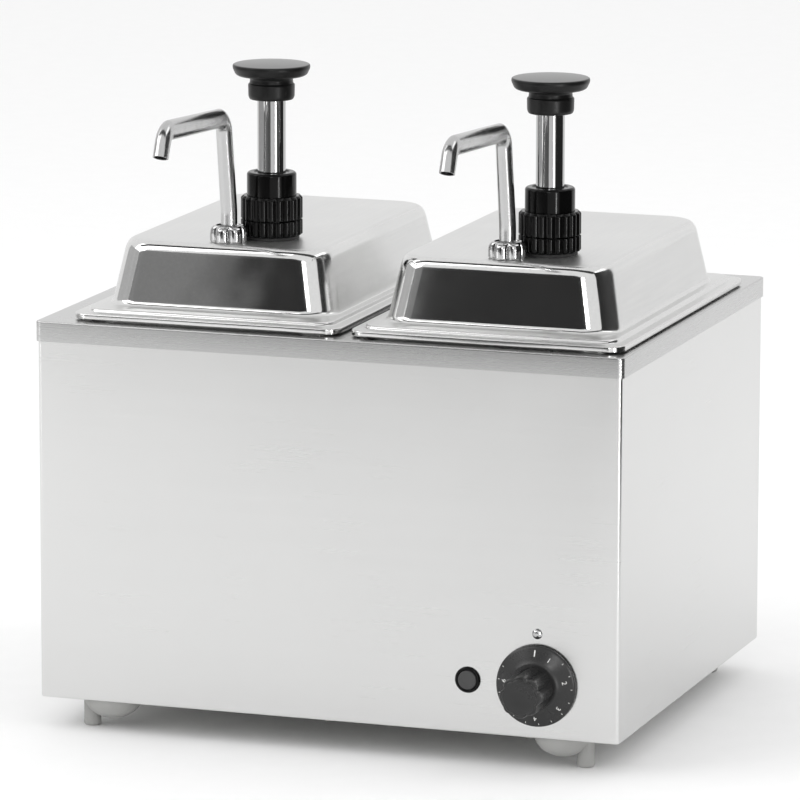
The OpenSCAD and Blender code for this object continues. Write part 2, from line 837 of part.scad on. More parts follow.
module gland_collar(side) {
    color("black") at_pump(side) difference() {
        union() {
            translate([0, 0, gland_foot_z]) cylinder(r = gland_foot_r, h = gland_foot_h);
            translate([0, 0, gland_foot_z])
                cylinder(r = gland_r, h = gland_top - gland_foot_z - gland_bevel);
            translate([0, 0, gland_top - gland_bevel - eps])
                cylinder(r1 = gland_r, r2 = gland_r - gland_bevel, h = gland_bevel);
            translate([0, 0, cyl_top - 10]) cylinder(r = cyl_in_r - fit, h = 12);
        }
        translate([0, 0, cyl_top - 11]) cylinder(r = tube_r + fit, h = 80);
    }
}

module lock_collar(side) {
    color("black") at_pump(side) difference() {
        translate([0, 0, lock_z]) linear_extrude(lock_h) scalloped(collar_r, flutes, flute_depth);
        translate([0, 0, lock_z - 1]) cylinder(r = cyl_r + fit, h = lock_h + 2);
        translate([0, 0, gland_foot_z - snug])
            cylinder(r = gland_foot_r + snug, h = lock_top - lock_wall - gland_foot_z + snug);
        translate([0, 0, lock_top - lock_wall - 1]) cylinder(r = gland_r + snug, h = lock_wall + 2);
    }
}

module mounting_nut(side) {
    color("black") at_pump(side) difference() {
        translate([0, 0, nut_z]) linear_extrude(nut_h) scalloped(collar_r, flutes, flute_depth);
        translate([0, 0, nut_z - 1]) cylinder(r = cyl_r + fit, h = nut_h + 2);
    }
}

module collar_gasket(side) {
    color("dimgray") at_pump(side) sleeve(gasket_r, cyl_r + snug, 0, gasket_h);
}

module pump_cylinder(side) {
    color("lightgray") at_pump(side) difference() {
        union() {
            translate([0, 0, cyl_bottom]) cylinder(r = cyl_r, h = cyl_top - cyl_bottom);
            translate([0, 0, -lid_t - 2.5]) cylinder(r = gasket_r + 1, h = 2.5);
        }
        translate([0, 0, cyl_bottom - 1]) cylinder(r = cyl_in_r, h = cyl_top - cyl_bottom + 2);
    }
}

// Foot of the pump: the intake under the cylinder and the socket of the spout tube
module valve_body(side) {
    reach = norm(pump_to_spout);
    aim = atan2(pump_to_spout[1], pump_to_spout[0]);
    web = 2 * passage_r + 6;
    color("white") at_pump(side) rotate([0, 0, aim]) difference() {
        union() {
            translate([0, 0, valve_floor]) cylinder(r = cyl_r + 3, h = valve_top - valve_floor);
            translate([reach, 0, seat_z - 2])
                cylinder(r = spout_boss_r, h = socket_top - seat_z + 2);
            translate([0, -web / 2, seat_z - 2]) cube([reach, web, web + 2]);
        }
        translate([0, 0, ledge_z]) cylinder(r = cyl_r + fit, h = 20);
        translate([0, 0, seat_z]) cylinder(r = chamber_r, h = 20);
        translate([0, 0, valve_floor - 1]) cylinder(r = intake_r, h = 20);
        translate([0, 0, passage_z]) rotate([0, 90, 0]) cylinder(r = passage_r, h = reach);
        translate([reach, 0, passage_z]) cylinder(r = passage_r, h = 10);
        translate([reach, 0, outlet_seat_z]) cylinder(r = outlet_chamber_r, h = 30);
        translate([reach, 0, tube_seat_z]) cylinder(r = spout_r + fit, h = 30);
    }
}

// Height of a ball's centre above the seat edge that it rests on
function ball_rest(ball, seat) = sqrt(ball * ball - seat * seat);

module intake_ball(side) {
    color("silver") at_pump(side)
        translate([0, 0, seat_z + ball_rest(intake_ball_r, intake_r)]) sphere(r = intake_ball_r);
}

module outlet_ball(side) {
    color("silver") at_spout(side)
        translate([0, 0, outlet_seat_z + ball_rest(outlet_ball_r, passage_r)])
            sphere(r = outlet_ball_r);
}

module spout(side) {
    color("lightgray") at_spout(side) translate([0, 0, tube_seat_z])
        bent_bar(spout_path, spout_r, spout_r - spout_t);
}

// Nut with six round lobes
module spout_nut(side) {
    base_h = 8;
    lobe_h = 12.5;
    lobe_r = 3.8;
    color("silver") at_spout(side) difference() {
        union() {
            cylinder(r = spout_r + 5, h = base_h);
            for (a = [0 : 60 : 300]) rotate(a + 20) translate([spout_r + 4.2, 0, 0]) {
                cylinder(r = lobe_r, h = lobe_h - lobe_r);
                translate([0, 0, lobe_h - lobe_r]) sphere(r = lobe_r);
            }
        }
        translate([0, 0, -1]) cylinder(r = spout_r + fit, h = 20);
        translate([0, 0, -1]) cylinder(r = spout_r + 2.6 + snug, h = 7);
    }
}

// Bush that carries the spout through the lid
module spout_bush(side) {
    color("white") at_spout(side) difference() {
        union() {
            translate([0, 0, -lid_t - 3]) cylinder(r = spout_r + 6, h = 3);
            translate([0, 0, -lid_t - 1]) cylinder(r = spout_r + 2.6, h = lid_t + 6.5);
        }
        translate([0, 0, -10]) cylinder(r = spout_r + fit, h = 30);
    }
}

body_wrap();
top_deck();
bottom_cover();
bottom_screws();
feet();
foot_screws();
well(left);  // well_left
well(right);  // well_right
insulation(left);  // insulation_left
insulation(right);  // insulation_right
heater(left);  // heater_left
heater(right);  // heater_right
heater_clamps();
thermostat_body();
thermostat_nut();
thermostat_bulb();
thermostat_shaft();
dial();
index_stud();
switch_body();
switch_cap();
terminal_block();
inlet_bush();
pan(left);  // pan_left
pan(right);  // pan_right
lid(left);  // lid_left
lid(right);  // lid_right
knob(left);  // knob_left
knob(right);  // knob_right
plunger_tube(left);  // plunger_tube_left
plunger_tube(right);  // plunger_tube_right
piston(left);  // piston_left
piston(right);  // piston_right
piston_seal(left);  // piston_seal_left
piston_seal(right);  // piston_seal_right
return_spring(left);  // return_spring_left
return_spring(right);  // return_spring_right
gland_collar(left);  // gland_collar_left
gland_collar(right);  // gland_collar_right
lock_collar(left);  // lock_collar_left
lock_collar(right);  // lock_collar_right
mounting_nut(left);  // mounting_nut_left
mounting_nut(right);  // mounting_nut_right
collar_gasket(left);  // collar_gasket_left
collar_gasket(right);  // collar_gasket_right
pump_cylinder(left);  // pump_cylinder_left
pump_cylinder(right);  // pump_cylinder_right
valve_body(left);  // valve_body_left
valve_body(right);  // valve_body_right
intake_ball(left);  // intake_ball_left
intake_ball(right);  // intake_ball_right
outlet_ball(left);  // outlet_ball_left
outlet_ball(right);  // outlet_ball_right
spout(left);  // spout_left
spout(right);  // spout_right
spout_nut(left);  // spout_nut_left
spout_nut(right);  // spout_nut_right
spout_bush(left);  // spout_bush_left
spout_bush(right);  // spout_bush_right
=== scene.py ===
"""Twin heated condiment pump dispenser: the detailed pieces, finishes, light and camera."""
import json
import math

import bmesh
import bpy
from mathutils import Matrix, Vector

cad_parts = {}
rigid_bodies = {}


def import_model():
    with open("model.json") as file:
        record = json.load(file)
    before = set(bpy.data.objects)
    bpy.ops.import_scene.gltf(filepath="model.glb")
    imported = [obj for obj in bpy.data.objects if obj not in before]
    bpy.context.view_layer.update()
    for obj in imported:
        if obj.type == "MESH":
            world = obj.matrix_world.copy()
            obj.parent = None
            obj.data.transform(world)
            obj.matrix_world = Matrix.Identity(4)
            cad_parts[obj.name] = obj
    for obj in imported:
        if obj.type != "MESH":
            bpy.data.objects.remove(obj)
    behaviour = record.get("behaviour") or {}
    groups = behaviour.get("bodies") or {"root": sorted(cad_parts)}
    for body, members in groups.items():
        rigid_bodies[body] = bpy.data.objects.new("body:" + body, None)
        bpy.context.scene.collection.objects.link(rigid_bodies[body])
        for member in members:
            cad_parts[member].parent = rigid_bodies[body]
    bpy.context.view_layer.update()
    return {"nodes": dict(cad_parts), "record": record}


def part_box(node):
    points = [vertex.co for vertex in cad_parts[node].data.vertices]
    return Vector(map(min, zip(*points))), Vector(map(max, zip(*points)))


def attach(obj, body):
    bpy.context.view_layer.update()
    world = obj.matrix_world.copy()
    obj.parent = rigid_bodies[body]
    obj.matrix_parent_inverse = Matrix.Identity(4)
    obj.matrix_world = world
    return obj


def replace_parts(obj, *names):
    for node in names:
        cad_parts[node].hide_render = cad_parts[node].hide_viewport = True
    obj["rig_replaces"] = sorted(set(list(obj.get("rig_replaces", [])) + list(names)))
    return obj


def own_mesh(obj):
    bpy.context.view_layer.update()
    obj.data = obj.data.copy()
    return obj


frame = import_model()
nodes = frame["nodes"]
MM = 0.001
ROOM_LIGHT = 0.98
SIDES = ("left", "right")
TO_FRONT = Matrix.Rotation(math.radians(90), 4, "X")
HOUSING_SHEET = 1.2 * MM
DRAWN_SHEET = 0.9 * MM


# ---------- shader sums ----------

class Amount:
    """A number that varies over a surface. Sums on it become Math nodes."""

    def __init__(self, finish, socket):
        self.finish = finish
        self.socket = socket

    def _sum(self, kind, first, second=0.0):
        parts = [p.socket if isinstance(p, Amount) else p for p in (first, second)]
        made = self.finish.node("ShaderNodeMath", {"operation": kind}, {0: parts[0], 1: parts[1]})
        return Amount(self.finish, made.outputs[0])

    def __add__(self, other):
        return self._sum("ADD", self, other)

    __radd__ = __add__

    def __sub__(self, other):
        return self._sum("SUBTRACT", self, other)

    def __rsub__(self, other):
        return self._sum("SUBTRACT", other, self)

    def __mul__(self, other):
        return self._sum("MULTIPLY", self, other)

    __rmul__ = __mul__

    def __gt__(self, other):
        return self._sum("GREATER_THAN", self, other)

    def __pow__(self, other):
        return self._sum("POWER", self, other)

    def fade(self, low, high):
        """0 at low, 1 at high and level outside them."""
        made = self.finish.node(
            "ShaderNodeMapRange",
            {"interpolation_type": "SMOOTHSTEP"},
            {0: self.socket, 1: low, 2: high},
        )
        return Amount(self.finish, made.outputs[0])


class Finish:
    """A node tree under construction, for a material or for the surroundings."""

    def __init__(self, tree):
        self.tree = tree
        tree.nodes.clear()

    def node(self, kind, settings=None, sockets=None):
        made = self.tree.nodes.new(kind)
        for name, value in (settings or {}).items():
            if name == "stops":
                ramp = made.color_ramp
                while len(ramp.elements) < len(value):
                    ramp.elements.new(0.5)
                for element, (place, colour) in zip(ramp.elements, value):
                    element.position = place
                    element.color = colour
            else:
                setattr(made, name, value)
        for name, value in (sockets or {}).items():
            if isinstance(value, Amount):
                value = value.socket
            if isinstance(value, bpy.types.NodeSocket):
                self.tree.links.new(value, made.inputs[name])
            else:
                made.inputs[name].default_value = value
        return made

    def place(self, scale=(1, 1, 1)):
        """Object coordinates, stretched."""
        spot = self.node("ShaderNodeTexCoord").outputs["Object"]
        return self.node("ShaderNodeMapping", None, {"Vector": spot, "Scale": scale}).outputs[0]

    def noise(self, size, stretch=(1, 1, 1), detail=3.0, rough=0.5):
        made = self.node(
            "ShaderNodeTexNoise",
            None,
            {"Vector": self.place(stretch), "Scale": size, "Detail": detail, "Roughness": rough},
        )
        return Amount(self, made.outputs[0])

    def facing(self):
        """The three parts of the way that the surface faces."""
        normal = self.node("ShaderNodeTexCoord").outputs["Normal"]
        parts = self.node("ShaderNodeSeparateXYZ", None, {0: normal})
        return [Amount(self, parts.outputs[i]) for i in range(3)]

    def tint(self, dark, light, amount):
        made = self.node(
            "ShaderNodeMix",
            {"data_type": "RGBA"},
            {"Factor": amount, 6: (*dark, 1), 7: (*light, 1)},
        )
        return made.outputs[2]

    def bump(self, height, strength, depth, below=None):
        sockets = {"Height": height, "Strength": strength, "Distance": depth}
        if below:
            sockets["Normal"] = below
        return self.node("ShaderNodeBump", None, sockets).outputs[0]


def surface(name, **sockets):
    """A material whose shader gets plain values now and links from its maker."""
    material = bpy.data.materials.new(name)
    material.use_nodes = True
    finish = Finish(material.node_tree)
    shader = finish.node("ShaderNodeBsdfPrincipled", None, sockets)
    finish.node("ShaderNodeOutputMaterial", None, {"Surface": shader.outputs[0]})
    return material, finish, shader


def link(finish, shader, **sources):
    names = {"colour": "Base Color", "rough": "Roughness", "metal": "Metallic",
             "coat": "Coat Weight", "glow": "Emission Color", "normal": "Normal"}
    for key, source in sources.items():
        if isinstance(source, Amount):
            source = source.socket
        finish.tree.links.new(source, shader.inputs[names[key]])


# ---------- finishes ----------

def satin_sheet(name, dark, light, rough, grain=(3, 3, 420), scratch=0.05):
    """Brushed steel sheet: fine level grain, faint rolling marks, smudges and a slight ripple."""
    material, finish, shader = surface(name, Metallic=1.0)
    fine = finish.noise(3.0, grain, 4, 0.6)
    coarse = finish.noise(3.0, (grain[0] / 3, grain[1] / 3, grain[2] / 6), 2)
    smudge = finish.noise(9.0, (1, 1, 1), 4, 0.6)
    wave = finish.noise(3.2, (1, 1, 1), 1)
    lines = finish.bump(fine, scratch, 0.00003) if scratch else None
    link(finish, shader,
         colour=finish.tint(dark, light, fine * 0.55 + coarse * 0.3 + smudge * 0.15),
         rough=fine * 0.1 + smudge * 0.07 + (rough - 0.085),
         normal=finish.bump(wave, 0.6, 0.0021, lines))
    return material


def lid_sheet():
    """Drawn steel: walls polished bright, level faces left satin with fine brushing."""
    material, finish, shader = surface("bright_lid_steel", Metallic=1.0)
    _, along, up = finish.facing()
    level = up.fade(0.72, 0.97)
    front = (along * -1.0).fade(0.3, 0.8)
    fine = finish.noise(3.0, (160, 5, 160), 4, 0.6)
    draw = finish.noise(3.0, (6, 6, 150), 3, 0.6)
    smudge = finish.noise(14.0, (1, 1, 1), 4, 0.62)
    wave = finish.noise(11.0, (1, 1, 1.6), 2)
    polish = 0.22 - front * 0.13
    rough = level * (0.1 + fine * 0.1) + polish + smudge * 0.07 + draw * 0.03 - 0.05
    base = finish.tint((0.60, 0.60, 0.60), (0.80, 0.80, 0.79), fine * 0.5 + smudge * 0.5)
    link(finish, shader, colour=base, rough=rough,
         normal=finish.bump(wave, 0.5, 0.0016, finish.bump(draw, 0.1, 0.00005)))
    return material


def polished_tube(name, light=0.82, rough=0.06):
    """Drawn and polished tube: faint lines along it, water spots and light scratches."""
    material, finish, shader = surface(name, Metallic=1.0)
    lines = finish.noise(3.0, (260, 260, 6), 3, 0.6)
    spots = finish.noise(120.0, (1, 1, 1), 3, 0.6).fade(0.52, 0.7)
    smudge = finish.noise(22.0, (1, 1, 1), 4, 0.6)
    link(finish, shader,
         colour=finish.tint((light * 0.82,) * 3, (light,) * 3, smudge * 0.6 + lines * 0.4),
         rough=lines * 0.05 + spots * 0.07 + smudge * 0.05 + (rough - 0.05),
         normal=finish.bump(lines, 0.08, 0.00004))
    return material


def moulded(name, dark, light, rough, texture, coat=0.0, depth=0.00004, gleam=0.5):
    """Moulded plastic: a fine tool texture, slow flow marks and handled patches."""
    material, finish, shader = surface(name, **{"Coat Weight": coat, "Coat Roughness": 0.08,
                                                "Specular IOR Level": gleam})
    skin = finish.noise(texture, (1, 1, 1), 3, 0.55)
    flow = finish.noise(30.0, (1, 1, 2), 3, 0.5)
    handled = finish.noise(16.0, (1, 1, 1), 4, 0.6).fade(0.42, 0.66)
    link(finish, shader,
         colour=finish.tint(dark, light, flow * 0.6 + skin * 0.4),
         rough=skin * 0.08 + handled * 0.09 + (rough - 0.08),
         normal=finish.bump(skin, 0.3, depth, finish.bump(flow, 0.15, 0.0002)))
    return material


def palm_worn():
    """Black knob plastic, its level top painted lighter grey as a painted sheen and given a clear coat.
    """
    material, finish, shader = surface("knob_black", **{"Specular IOR Level": 0.25,
                                                        "Coat Roughness": 0.34})
    skin = finish.noise(1400.0, (1, 1, 1), 3, 0.55)
    rub_and_sheen = finish.noise(40.0, (1, 4, 1), 4, 0.6)
    level = finish.facing()[2].fade(0.8, 0.985)
    # The lighter grey on the level top is painted sheen, mottled by the same noise that varies the
    # roughness.
    link(finish, shader,
         colour=finish.tint((0.006, 0.006, 0.006), (0.11, 0.11, 0.11), level * (rub_and_sheen * 0.5 + 0.3)),
         rough=skin * 0.08 + rub_and_sheen * 0.1 + 0.26, coat=level * 0.6,
         normal=finish.bump(skin, 0.3, 0.00004))
    return material


def felted():
    """Needled fibre mat."""
    material, finish, shader = surface("insulation_felt", Roughness=0.95)
    fibre = finish.noise(700.0, (1, 1, 0.3), 5, 0.7)
    clump = finish.noise(60.0, (1, 1, 1), 4, 0.6)
    link(finish, shader,
         colour=finish.tint((0.50, 0.44, 0.30), (0.84, 0.79, 0.63), fibre * 0.6 + clump * 0.4),
         normal=finish.bump(fibre, 0.8, 0.0005, finish.bump(clump, 0.6, 0.001)))
    return material


def scaled_metal(name, dark, light, rough, metal, size=90.0):
    """Metal with a dull oxide bloom, as on a heater sheath, a fine copper tube or a plated screw."""
    material, finish, shader = surface(name)
    bloom = finish.noise(size, (1, 1, 1), 5, 0.65)
    patch = finish.noise(size / 5, (1, 1, 1), 3, 0.6)
    link(finish, shader,
         colour=finish.tint(dark, light, bloom * 0.5 + patch * 0.5),
         rough=bloom * 0.2 + (rough - 0.1),
         metal=metal - patch.fade(0.5, 0.75) * 0.25,
         normal=finish.bump(bloom, 0.35, 0.0001))
    return material


def printed_white():
    """White marking paint, slightly worn."""
    material, finish, shader = surface("marking_white")
    worn = finish.noise(900.0, (1, 1, 1), 4, 0.6)
    link(finish, shader,
         colour=finish.tint((0.66, 0.66, 0.64), (0.88, 0.88, 0.86), worn.fade(0.35, 0.6)),
         rough=worn * 0.2 + 0.35)
    return material


finishes = {
    "housing_steel": satin_sheet("housing_satin", (0.645, 0.645, 0.64), (0.705, 0.705, 0.70), 0.25,
                                 scratch=0),
    # The deck's base is darker than the housing's: painted shade for the rim band's darker reflection.
    "deck_steel": satin_sheet("deck_satin", (0.50, 0.50, 0.50), (0.585, 0.585, 0.58), 0.27),
    "lid_steel": lid_sheet(),
    "pan_steel": satin_sheet("pan_satin", (0.60, 0.60, 0.59), (0.76, 0.76, 0.75), 0.24, (90, 90, 8)),
    "inner_steel": satin_sheet("mill_sheet", (0.50, 0.50, 0.49), (0.64, 0.64, 0.62), 0.40),
    "tube_steel": polished_tube("polished_tube", 0.54, 0.07),
    "gloss_black": moulded("gloss_black", (0.0015, 0.0015, 0.0015), (0.004, 0.004, 0.004), 0.13,
                           900.0, 0.0, 0.00002, 0.16),
    "satin_black": moulded("satin_black", (0.004, 0.004, 0.004), (0.009, 0.009, 0.009), 0.32,
                           1500.0, 0.0, 0.00004, 0.3),
    "foot_grey": moulded("foot_grey", (0.30, 0.30, 0.29), (0.42, 0.42, 0.41), 0.62, 1100.0),
    "dark_rubber": moulded("dark_rubber", (0.018, 0.018, 0.018), (0.04, 0.04, 0.04), 0.74, 1300.0,
                           0.0, 0.00008),
    "white_plastic": moulded("white_plastic", (0.70, 0.70, 0.67), (0.84, 0.84, 0.82), 0.42, 1200.0),
    "cream_ceramic": moulded("cream_ceramic", (0.66, 0.60, 0.48), (0.80, 0.75, 0.64), 0.34, 800.0,
                             0.3),
    "insulation_mat": felted(),
    "heater_sheath": scaled_metal("heater_sheath", (0.07, 0.065, 0.06), (0.2, 0.19, 0.19), 0.55,
                                  0.85),
    "copper_tube": scaled_metal("dull_copper", (0.42, 0.20, 0.12), (0.72, 0.42, 0.28), 0.38, 1.0),
    "zinc_screw": scaled_metal("zinc_plate", (0.46, 0.46, 0.44), (0.66, 0.66, 0.62), 0.36, 1.0,
                               260.0),
}
marking = printed_white()
knob_black = palm_worn()
dial_black = moulded("dial_black", (0.014, 0.014, 0.014), (0.028, 0.028, 0.028), 0.3, 1300.0,
                     0.0, 0.00005, 0.4)
cap_grey = moulded("cap_grey", (0.04, 0.04, 0.04), (0.07, 0.07, 0.07), 0.42, 1300.0, 0.0,
                   0.00006, 0.4)
satin_tube = polished_tube("satin_tube", 0.56, 0.19)


# ---------- shapes ----------

def soft_path(stations, steps=6):
    """Points through the stations, each corner rounded over its last number."""
    made = []
    for i, station in enumerate(stations):
        spot, soften = Vector(station[:-1]), station[-1]
        if not soften or i in (0, len(stations) - 1):
            made.append(spot)
            continue
        start, end = [spot + (other - spot) * min(soften / math.dist(spot, other), 0.49)
                      for other in (Vector(stations[i - 1][:-1]), Vector(stations[i + 1][:-1]))]
        for k in range(steps + 1):
            t = k / steps
            made.append(start * (1 - t) ** 2 + spot * (2 * t * (1 - t)) + end * t * t)
    return made


def rounded_ring(bm, centre, half_w, half_l, corner, height, arc=10):
    """Vertices round a rounded rectangle, level at a height, counter-clockwise from above."""
    corner = max(corner, 0.0002)
    made = []
    for quarter, (sx, sy) in enumerate(((1, 1), (-1, 1), (-1, -1), (1, -1))):
        cx = centre[0] + sx * (half_w - corner)
        cy = centre[1] + sy * (half_l - corner)
        for k in range(arc + 1):
            turn = math.radians(90 * quarter + 90 * k / arc)
            made.append(bm.verts.new((cx + corner * math.cos(turn), cy + corner * math.sin(turn),
                                      height)))
    return made


def bridge(bm, lower, upper):
    count = len(lower)
    for i in range(count):
        j = (i + 1) % count
        bm.faces.new((lower[i], lower[j], upper[j], upper[i]))


def loft(bm, centre, stations, arc=10, cap=True):
    """Skin through rounded rectangles given as (half width, half length, corner, height)."""
    rings = [rounded_ring(bm, centre, *s, arc) for s in stations]
    for lower, upper in zip(rings, rings[1:]):
        bridge(bm, lower, upper)
    if cap:
        bm.faces.new(rings[-1])
    return rings


def lathe(bm, profile, segments=96, place=None):
    """Turns (radius, height) points in mm about Z; a point on the axis closes the end."""
    place = place or Matrix.Identity(4)
    rings = []
    for radius, height in profile:
        turns = range(segments) if radius > 1e-3 else [0]
        rings.append([bm.verts.new(place @ (MM * Vector((radius * math.cos(math.tau * i / segments),
                                                         radius * math.sin(math.tau * i / segments),
                                                         height)))) for i in turns])
    for lower, upper in zip(rings, rings[1:]):
        if len(lower) == len(upper) == segments:
            bridge(bm, lower, upper)
        elif len(lower) != len(upper):
            tip, rim = sorted((lower, upper), key=len)
            for i in range(segments):
                j = (i + 1) % segments
                bm.faces.new((tip[0], rim[j], rim[i]) if tip is lower else (rim[i], rim[j], tip[0]))


def turned(profile, segments=96, place=None, closed=True):
    """A turned part, in mm. A closed profile is a ring's section and runs back to its start."""
    bm = bmesh.new()
    points = soft_path(profile)
    if closed:
        points.append(points[0].copy())
    lathe(bm, points, segments, place)
    bmesh.ops.remove_doubles(bm, verts=bm.verts, dist=1e-7)
    return bm


def plug(radius, reach):
    """Profile of a rod about the origin, for cutting a hole."""
    return [(0, -reach), (radius, -reach), (radius, reach), (0, reach)]


def add_box(bm, low, high):
    """A box between two corners."""
    made = bmesh.ops.create_cube(bm, size=1.0)["verts"]
    size = Vector(high) - Vector(low)
    middle = (Vector(high) + Vector(low)) / 2
    for v in made:
        v.co = Vector((v.co.x * size.x, v.co.y * size.y, v.co.z * size.z)) + middle
    return made


def put_in_scene(name, data):
    made = bpy.data.objects.new(name, data)
    bpy.context.scene.collection.objects.link(made)
    return made


def as_object(name, bm):
    """An object at the origin from a bmesh, its faces turned outwards."""
    bmesh.ops.recalc_face_normals(bm, faces=bm.faces)
    mesh = bpy.data.meshes.new(name)
    bm.to_mesh(mesh)
    bm.free()
    return put_in_scene(name, mesh)


def settle(made):
    """Replaces an object's mesh by what its modifiers make, and drops them."""
    bpy.context.view_layer.update()
    seen = made.evaluated_get(bpy.context.evaluated_depsgraph_get())
    mesh = bpy.data.meshes.new_from_object(seen)
    mesh.name = made.name
    made.modifiers.clear()
    made.data = mesh
    return made


def cut(made, tool):
    """Cuts the tool's shape out of an object."""
    step = made.modifiers.new("cut", "BOOLEAN")
    step.operation = "DIFFERENCE"
    step.solver = "EXACT"
    step.object = tool
    settle(made)
    bpy.data.objects.remove(tool)
    return made


def thicken(made, wall):
    """Gives a skin its sheet thickness, inwards."""
    step = made.modifiers.new("wall", "SOLIDIFY")
    step.thickness = wall
    step.offset = -1.0
    step.use_even_offset = True
    step.use_quality_normals = True
    return settle(made)


def hand_over(made, body, slot, stands_for=(), material=None, sharp=32):
    """Shades a finished piece, gives it its finish and sets it on its body."""
    made.data.materials.clear()
    made.data.materials.append(material or finishes[slot])
    for face in made.data.polygons:
        face.material_index = 0
    made.data.shade_smooth()
    made.data.set_sharp_from_angle(angle=math.radians(sharp))
    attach(made, body)
    if stands_for:
        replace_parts(made, *stands_for)
    return made


def plan(node):
    """A node's middle, half its width and half its length."""
    low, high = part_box(node)
    return (low + high) / 2, (high.x - low.x) / 2, (high.y - low.y) / 2


def middle(node):
    return plan(node)[0]


# ---------- repeating work ----------

class Grower:
    """A geometry tree with named inputs that ends in real, painted mesh."""

    def __init__(self, name, inputs):
        self.tree = bpy.data.node_groups.new(name, "GeometryNodeTree")
        face = self.tree.interface
        face.new_socket("Geometry", in_out="INPUT", socket_type="NodeSocketGeometry")
        self.keys = {}
        for label, kind in inputs.items():
            item = face.new_socket(label, in_out="INPUT", socket_type=kind)
            self.keys[label] = item.identifier
        face.new_socket("Geometry", in_out="OUTPUT", socket_type="NodeSocketGeometry")
        self.given = self.node("NodeGroupInput")

    def node(self, kind, settings=None, sockets=None):
        made = self.tree.nodes.new(kind)
        for name, value in (settings or {}).items():
            setattr(made, name, value)
        for name, value in (sockets or {}).items():
            if isinstance(value, bpy.types.NodeSocket):
                self.tree.links.new(value, made.inputs[name])
            else:
                made.inputs[name].default_value = value
        return made

    def maths(self, kind, *parts):
        return self.node("ShaderNodeMath", {"operation": kind}, dict(enumerate(parts))).outputs[0]

    def close(self, shape):
        real = self.node("GeometryNodeRealizeInstances", None, {0: shape})
        paint = self.node("GeometryNodeSetMaterial", None,
                          {"Geometry": real.outputs[0], "Material": self.given.outputs["Material"]})
        self.node("NodeGroupOutput", None, {0: paint.outputs[0]})

    def grow(self, made, **values):
        step = made.modifiers.new("grow", "NODES")
        step.node_group = self.tree
        for label, value in values.items():
            step[self.keys[label]] = value
        return settle(made)


def make_flutes():
    """Draws evenly spaced grooves, or lobes, into a turned wall between two radii."""
    g = Grower("flutes", {"Count": "NodeSocketFloat", "Depth": "NodeSocketFloat",
                          "Width": "NodeSocketFloat", "Inner": "NodeSocketFloat",
                          "Span": "NodeSocketFloat", "Round": "NodeSocketFloat",
                          "Material": "NodeSocketMaterial"})
    spot = g.node("GeometryNodeInputPosition").outputs[0]
    parts = g.node("ShaderNodeSeparateXYZ", None, {0: spot}).outputs
    turn = g.maths("DIVIDE", g.maths("ARCTAN2", parts[1], parts[0]), math.tau)
    phase = g.maths("MULTIPLY", turn, g.given.outputs["Count"])
    saw = g.maths("ABSOLUTE", g.maths("SUBTRACT", g.maths("FRACT", g.maths("ADD", phase, 100.0)), 0.5))
    near = g.maths("SUBTRACT", 1.0, g.maths("DIVIDE", saw, g.given.outputs["Width"]))
    bowl = g.maths("POWER", g.maths("MAXIMUM", near, 0.0), g.given.outputs["Round"])
    flat = g.node("ShaderNodeCombineXYZ", None, {0: parts[0], 1: parts[1]}).outputs[0]
    radius = g.node("ShaderNodeVectorMath", {"operation": "LENGTH"}, {0: flat}).outputs["Value"]
    past = g.maths("DIVIDE", g.maths("SUBTRACT", radius, g.given.outputs["Inner"]),
                   g.given.outputs["Span"])
    outer = g.maths("MINIMUM", g.maths("MAXIMUM", past, 0.0), 1.0)
    push = g.maths("MULTIPLY", g.maths("MULTIPLY", bowl, outer),
                   g.maths("MULTIPLY", g.given.outputs["Depth"], -1.0))
    out = g.node("ShaderNodeVectorMath", {"operation": "NORMALIZE"}, {0: flat}).outputs[0]
    move = g.node("ShaderNodeVectorMath", {"operation": "SCALE"}, {0: out, "Scale": push}).outputs[0]
    moved = g.node("GeometryNodeSetPosition", None,
                   {"Geometry": g.given.outputs["Geometry"], "Offset": move})
    g.close(moved.outputs[0])
    return g


def make_scatter():
    """Puts a copy of one shape at every point it is given."""
    g = Grower("places", {"Shape": "NodeSocketObject", "Material": "NodeSocketMaterial"})
    shape = g.node("GeometryNodeObjectInfo", None, {0: g.given.outputs["Shape"]})
    put = g.node("GeometryNodeInstanceOnPoints", None,
                 {"Points": g.given.outputs["Geometry"], "Instance": shape.outputs["Geometry"]})
    g.close(put.outputs[0])
    return g


def make_coil():
    """Winds a round wire into a helix."""
    g = Grower("coil", {"Turns": "NodeSocketFloat", "Radius": "NodeSocketFloat",
                        "Height": "NodeSocketFloat", "Wire": "NodeSocketFloat",
                        "Centre": "NodeSocketVector", "Material": "NodeSocketMaterial"})
    given = g.given.outputs
    path = g.node("GeometryNodeCurveSpiral", None,
                  {"Resolution": 28, "Rotations": given["Turns"], "Start Radius": given["Radius"],
                   "End Radius": given["Radius"], "Height": given["Height"]})
    wire = g.node("GeometryNodeCurvePrimitiveCircle", None, {"Resolution": 10, "Radius": given["Wire"]})
    skin = g.node("GeometryNodeCurveToMesh", None,
                  {"Curve": path.outputs[0], "Profile Curve": wire.outputs[0], "Fill Caps": True})
    place = g.node("GeometryNodeTransform", None,
                   {"Geometry": skin.outputs[0], "Translation": given["Centre"]})
    g.close(place.outputs[0])
    return g


flutes, scatter, coil = make_flutes(), make_scatter(), make_coil()


def set_out(name, points, shape, material):
    """Copies a shape to the points and returns them as one object."""
    bm = bmesh.new()
    for point in points:
        bm.verts.new(point)
    made = as_object(name, bm)
    scatter.grow(made, Shape=shape, Material=material)
    bpy.data.objects.remove(shape)
    return made


# ---------- housing ----------

